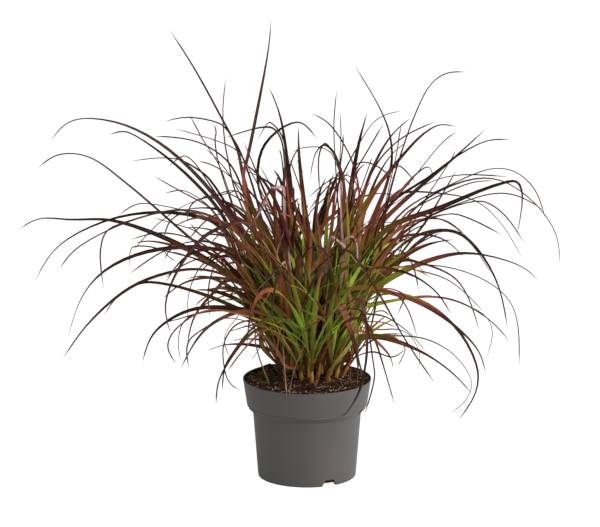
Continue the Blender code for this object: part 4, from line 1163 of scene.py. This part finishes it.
def box_tool(name, corners):
    """A closed six-sided block from eight corners, the lower four first."""
    faces = [(3, 2, 1, 0), (4, 5, 6, 7)]
    faces += [(k, (k + 1) % 4, (k + 1) % 4 + 4, k + 4) for k in range(4)]
    mesh = bpy.data.meshes.new(name)
    mesh.from_pydata([tuple(corner) for corner in corners], [], faces)
    return placed(name, mesh)


def turned(points, angle):
    """Points turned about the upright axis."""
    cosine, sine = math.cos(angle), math.sin(angle)
    points = np.array(points, dtype=float)
    x, y = points[:, 0].copy(), points[:, 1].copy()
    points[:, 0], points[:, 1] = cosine * x - sine * y, sine * x + cosine * y
    return points


def notch_corners(angle):
    """A drain notch: a block across the foot, narrower at its top."""
    inner, outer = NOTCH_RADII
    corners = []
    for height, half in NOTCH_LEVELS:
        corners += [(inner, -half, height), (outer, -half, height)]
        corners += [(outer, half, height), (inner, half, height)]
    return turned(corners, angle)


def rib_corners(angle):
    """A small rib on the slope under the collar."""
    along = np.array([RIB_SLOPE, RIB_SLOPE])
    out = np.array([RIB_SLOPE, -RIB_SLOPE])
    long, wide, deep = RIB_HALF
    corners = []
    for proud in (-deep, deep):
        for length, half in ((-long, -wide), (-long, wide), (long, wide), (long, -wide)):
            radius, height = RIB_PLACE + along * length + out * proud
            corners.append((radius, half, height))
    return turned(corners, angle)


def make_pot(material):
    """The pot, turned from a profile with rounded corners, with its ribs and notches."""
    profile = rounded(POT_PROFILE)
    skin = Skin()
    faces = lathe_faces(len(profile) - 2, POT_SIDES)
    skin.add(lathe(profile, POT_SIDES), faces, (0, 0, 0, 0))
    pot = skin.piece("pot_body", [material])
    tools = []
    for k in range(NOTCHES):
        angle = math.radians(NOTCH_FIRST + 360 / NOTCHES * k)
        tools.append(("DIFFERENCE", box_tool("notch", notch_corners(angle))))
    for group in RIB_GROUPS:
        for k in (-1, 0, 1):
            angle = math.radians(group + RIB_STEP * k)
            tools.append(("UNION", box_tool("rib", rib_corners(angle))))
    for operation, tool in tools:
        step = pot.modifiers.new("shape", "BOOLEAN")
        step.operation = operation
        step.solver = "EXACT"
        step.object = tool
    shaped = pot.evaluated_get(bpy.context.evaluated_depsgraph_get())
    mesh = bpy.data.meshes.new_from_object(shaped)
    pot.modifiers.clear()
    pot.data = mesh
    for _, tool in tools:
        bpy.data.objects.remove(tool)
    mesh.polygons.foreach_set("use_smooth", np.ones(len(mesh.polygons), dtype=bool))
    mesh.set_sharp_from_angle(angle=SHARP_ANGLE)
    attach(pot, "root")
    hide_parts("pot")


# Soil


def soil_height(x, y):
    """Height of the soil: a mound round the crown, a bump at the back left, and lumps of three
    sizes of lattice noise."""
    distance = np.hypot(x, y)
    mound = MOUND[0] * np.maximum(0, 1 - (distance / MOUND[1]) ** 2) ** 1.5
    away = np.hypot(x - SOIL_BUMP[0], y - SOIL_BUMP[1]) / SOIL_BUMP[3]
    bump_height = SOIL_BUMP[2] * np.exp(-(away**2) / 2)
    spots = np.stack([x, y, np.zeros_like(x)], axis=-1)
    lumps = sum(high * lattice_noise(spots, size, seed) for high, size, seed in SOIL_LUMPS)
    return POT_HEIGHT - SOIL_EDGE_DROP + mound + bump_height + lumps + SOIL_LIFT


def make_soil(material):
    """The soil: rings of a lumpy top, and a plain body down the inside of the pot."""
    steps, rings = SOIL_STEPS, SOIL_RINGS
    turns = np.linspace(0, 2 * math.pi, steps, endpoint=False)
    radii = SOIL_EDGE * np.linspace(1, 1 / rings, rings) ** 0.9
    x = radii[:, None] * np.cos(turns)
    y = radii[:, None] * np.sin(turns)
    top = np.stack([x, y, soil_height(x, y)], axis=-1)
    body = []
    for radius, height in SOIL_BODY:
        level = np.full(steps, height)
        body.append(np.stack([radius * np.cos(turns), radius * np.sin(turns), level], axis=-1))
    grid = np.concatenate([np.array(body), top])
    middle = soil_height(np.zeros(1), np.zeros(1))[0]
    corners = np.vstack([grid.reshape(-1, 3), [[0, 0, SOIL_FLOOR], [0, 0, middle]]])
    skin = Skin()
    skin.add(corners, lathe_faces(len(grid), steps), (0, 0, 0, 0))
    soil = skin.piece("soil_body", [material])
    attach(soil, "root")
    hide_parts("soil")


def icosahedron():
    """Corners and faces of the twelve-cornered solid from three golden rectangles."""
    golden = (1 + 5**0.5) / 2
    corners = []
    for one in (-1, 1):
        for other in (-golden, golden):
            corners += [(0, one, other), (one, other, 0), (other, 0, one)]
    corners = unit(np.array(corners))
    faces = []
    near = np.linalg.norm(corners[:, None] - corners[None], axis=-1) < 1.1
    for a in range(12):
        for b in range(a + 1, 12):
            for c in range(b + 1, 12):
                if near[a, b] and near[b, c] and near[a, c]:
                    normal = np.cross(corners[b] - corners[a], corners[c] - corners[a])
                    faces.append((a, b, c) if normal @ corners[a] > 0 else (a, c, b))
    return corners, np.array(faces)


def turns_of(rng, count):
    """Random turns as matrices, from the axes of random frames."""
    first = unit(rng.normal(size=(count, 3)))
    second = unit(np.cross(first, rng.normal(size=(count, 3))))
    return np.stack([first, second, np.cross(first, second)], axis=1)


def make_crumbs(material, rng):
    """Crumbs of many sizes over the soil, each a dented twelve-cornered solid.

    They are smaller close to the pot's wall, redder round a patch at the left, and a few are
    pale.
    """
    corners, faces = icosahedron()
    count, sides = CRUMBS, len(corners)
    distance = LITTER_REACH * np.sqrt(rng.uniform(0.0, 1, count))
    turn = rng.uniform(0, 2 * math.pi, count)
    x, y = distance * np.cos(turn), distance * np.sin(turn)
    least, extra, power = CRUMB_SIZES
    size = least + extra * rng.uniform(0, 1, count) ** power
    at_wall, share, wall = CRUMB_AT_WALL
    size = np.minimum(size, at_wall + share * (wall - distance))
    z = soil_height(x, y) + 0.25 * size
    shapes = corners[None] * rng.uniform(*CRUMB_DENTS, (count, sides, 1)) * size[:, None, None]
    squashed = [np.ones(count), rng.uniform(0.6, 1, count), rng.uniform(0.4, 1, count)]
    shapes *= np.stack(squashed, -1)[:, None]
    shapes = np.einsum("nij,njk->nik", shapes, turns_of(rng, count))
    shapes += np.stack([x, y, z], axis=-1)[:, None]
    tone = rng.uniform(0, 1, count) ** 1.7
    red = np.exp(-((x - RED_PATCH[0]) ** 2 + y**2) / RED_PATCH[1] ** 2)
    tone = np.clip(tone * 0.72 + 0.35 * red * rng.uniform(0.3, 1, count), 0, PALE_TONES[0])
    pale = rng.uniform(0, 1, count) < PALE_SHARE
    tone = np.where(pale, rng.uniform(*PALE_TONES, count), tone)
    numbers = np.zeros((count * sides, 4))
    numbers[:, 0] = np.repeat(tone, sides)
    rows = (faces[None] + sides * np.arange(count)[:, None, None]).reshape(-1, 3)
    skin = Skin()
    skin.add(shapes, [rows], numbers)
    add_fibres(skin, rng, FIBRES)
    crumbs = skin.piece("soil_crumbs", [material])
    flat = np.zeros(len(crumbs.data.polygons), dtype=bool)
    crumbs.data.polygons.foreach_set("use_smooth", flat)
    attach(crumbs, "root")


def add_fibres(skin, rng, count):
    """Root fibres and straw bits: thin three-sided tubes along bent arcs that lie on the soil."""
    steps, sides = FIBRE_STEPS, FIBRE_SIDES
    distance = FIBRE_REACH * np.sqrt(rng.uniform(0.1, 1, count))
    turn = rng.uniform(0, 2 * math.pi, count)
    length = rng.uniform(*FIBRE_LENGTHS, count)[:, None]
    heading = rng.uniform(0, 2 * math.pi, count)
    bend = rng.uniform(-FIBRE_BEND, FIBRE_BEND, count)
    along = np.linspace(-0.5, 0.5, steps)
    angle = heading[:, None] + bend[:, None] * along
    x = (distance * np.cos(turn))[:, None] + np.cumsum(np.cos(angle), 1) * length / steps
    y = (distance * np.sin(turn))[:, None] + np.cumsum(np.sin(angle), 1) * length / steps
    outside = np.maximum(1, np.hypot(x, y).max(axis=1, keepdims=True) / LITTER_REACH)
    x, y = x / outside, y / outside
    arch = rng.uniform(0, FIBRE_ARCH, count)[:, None] * (1 - (2 * along) ** 2)
    z = soil_height(x, y) + 0.0004 + arch
    line = np.stack([x, y, z], axis=-1)
    tangent = unit(np.gradient(line, axis=1))
    side = unit(np.cross(tangent, [0, 0, 1.0]))
    over = np.cross(side, tangent)
    radius = rng.uniform(*FIBRE_RADII, count)[:, None, None, None]
    spin = (np.arange(sides) * 2 * math.pi / sides)[:, None]
    spots = side[:, :, None] * np.cos(spin) + over[:, :, None] * np.sin(spin)
    spots = line[:, :, None] + radius * spots
    pale = rng.uniform(0, 1, count) < FIBRE_PALE
    tone = np.where(pale, rng.uniform(*PALE_TONES, count), rng.uniform(0.3, 0.8, count))
    each = steps * sides
    numbers = np.zeros((count * each, 4))
    numbers[:, 0] = np.repeat(tone, each)
    first = each * np.arange(count)[:, None, None]
    quads = (ring_faces(steps, sides)[None] + first).reshape(-1, 4)
    caps = np.array([[0, 1, 2], [each - 1, each - 2, each - 3]])
    skin.add(spots, [quads, (caps[None] + first).reshape(-1, 3)], numbers)


# The clump


def grow_shoots(rng):
    """The shoots with the leaves of their solids, the outlined ones and those by rule."""
    shoots = [Shoot(f"tiller_{number:02d}", rng) for number in range(1, SHOOTS + 1)]
    for side, toward, width, kind, outline in SIDE_OUTLINES:
        heading = math.radians(-toward if side == "right" else 180 + toward)
        points = on_upright_plane(numbers_of(outline), CROWN, heading)
        outlined_leaf(shoots, points, heading, width, kind, rng)
    for width, kind, first, last, outline in FRONT_OUTLINES:
        pixels = numbers_of(outline)
        points = sight_line_at(pixels, np.linspace(first, last, len(pixels)) / 1000)
        run = points[-1] - points[0]
        heading = math.atan2(run[1], run[0])
        width *= FRONT_WIDTH_SHARE
        outlined_leaf(shoots, points, heading, width, kind, rng, FRONT_FACING)
    for count, *habit in HABITS:
        for k in range(count):
            ruled_leaf(shoots[k % SHOOTS], habit, rng)
    return shoots


def make_shoots(materials, rng):
    """Each shoot's culm and leaves as one piece in place of its solid."""
    for shoot in grow_shoots(rng):
        skin = Skin()
        add_culm(skin, shoot.foot, shoot.axis, shoot.length, rng)
        for blade in shoot.blades:
            add_blade(skin, blade)
        made = skin.piece(f"{shoot.name}_leaves", materials)
        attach(made, "root")
        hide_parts(shoot.name)


def seen_or_lit(tree, seen, lit):
    """One value where the viewer looks, and another for the light that the part gets."""
    looked_at = node(tree, "ShaderNodeLightPath").outputs["Is Camera Ray"]
    return maths(tree, "MULTIPLY_ADD", looked_at, seen - lit, lit)


def make_stage():
    """A wide white floor that glows a little, as a light table does, and soft studio light."""
    mesh = bpy.data.meshes.new("floor")
    half = FLOOR_HALF
    corners = [(-half, -half, 0), (half, -half, 0), (half, half, 0), (-half, half, 0)]
    mesh.from_pydata(corners, [], [(0, 1, 2, 3)])
    floor = placed("floor", mesh)
    material, tree, shader = new_material("floor_white", 0.9, Specular_IOR_Level=0.0)
    grey = seen_or_lit(tree, FLOOR_SEEN[0], FLOOR_ALBEDO)
    tree.links.new(grey, shader.inputs["Base Color"])
    shader.inputs["Emission Color"].default_value = (1, 1, 1, 1)
    glow = seen_or_lit(tree, FLOOR_SEEN[1], 0.0)
    tree.links.new(glow, shader.inputs["Emission Strength"])
    mesh.materials.append(material)
    world = bpy.data.worlds.new("studio")
    bpy.context.scene.world = world
    world.use_nodes = True
    back = world.node_tree.nodes["Background"]
    strength = seen_or_lit(world.node_tree, WORLD_SEEN, WORLD_LIGHT)
    world.node_tree.links.new(strength, back.inputs["Strength"])
    back.inputs["Color"].default_value = (1, 1, 1, 1)
    for name, place, aim, size, power in LIGHTS:
        lamp = bpy.data.lights.new(name, "AREA")
        lamp.shape = "RECTANGLE"
        lamp.size, lamp.size_y = size
        lamp.energy = power
        x, y, z = np.array(aim) - np.array(place)
        made = placed(name, lamp)
        made.location = place
        turn = math.atan2(y, x) - math.pi / 2
        made.rotation_euler = (math.atan2(math.hypot(x, y), -z), 0, turn)


def make_camera():
    """The photograph's view."""
    camera = placed("camera", bpy.data.cameras.new("camera"))
    camera.data.sensor_width = SENSOR
    camera.data.lens = FOCAL / PICTURE[0] * SENSOR
    camera.data.clip_end = VIEW_LIMIT
    camera.location = EYE
    camera.rotation_euler = (math.pi / 2 - VIEW_PITCH, 0, 0)
    bpy.context.scene.camera = camera


make_camera()
make_stage()
bpy.context.scene.view_settings.view_transform = "Standard"
rng = np.random.default_rng(SEED)
GROUPS = {"veins": veins_group(), "grit": grit_group()}
make_pot(make_pot_material())
make_soil(make_soil_material())
make_crumbs(make_crumb_material(), rng)
make_shoots([make_leaf_material(), make_sheath_material()], rng)
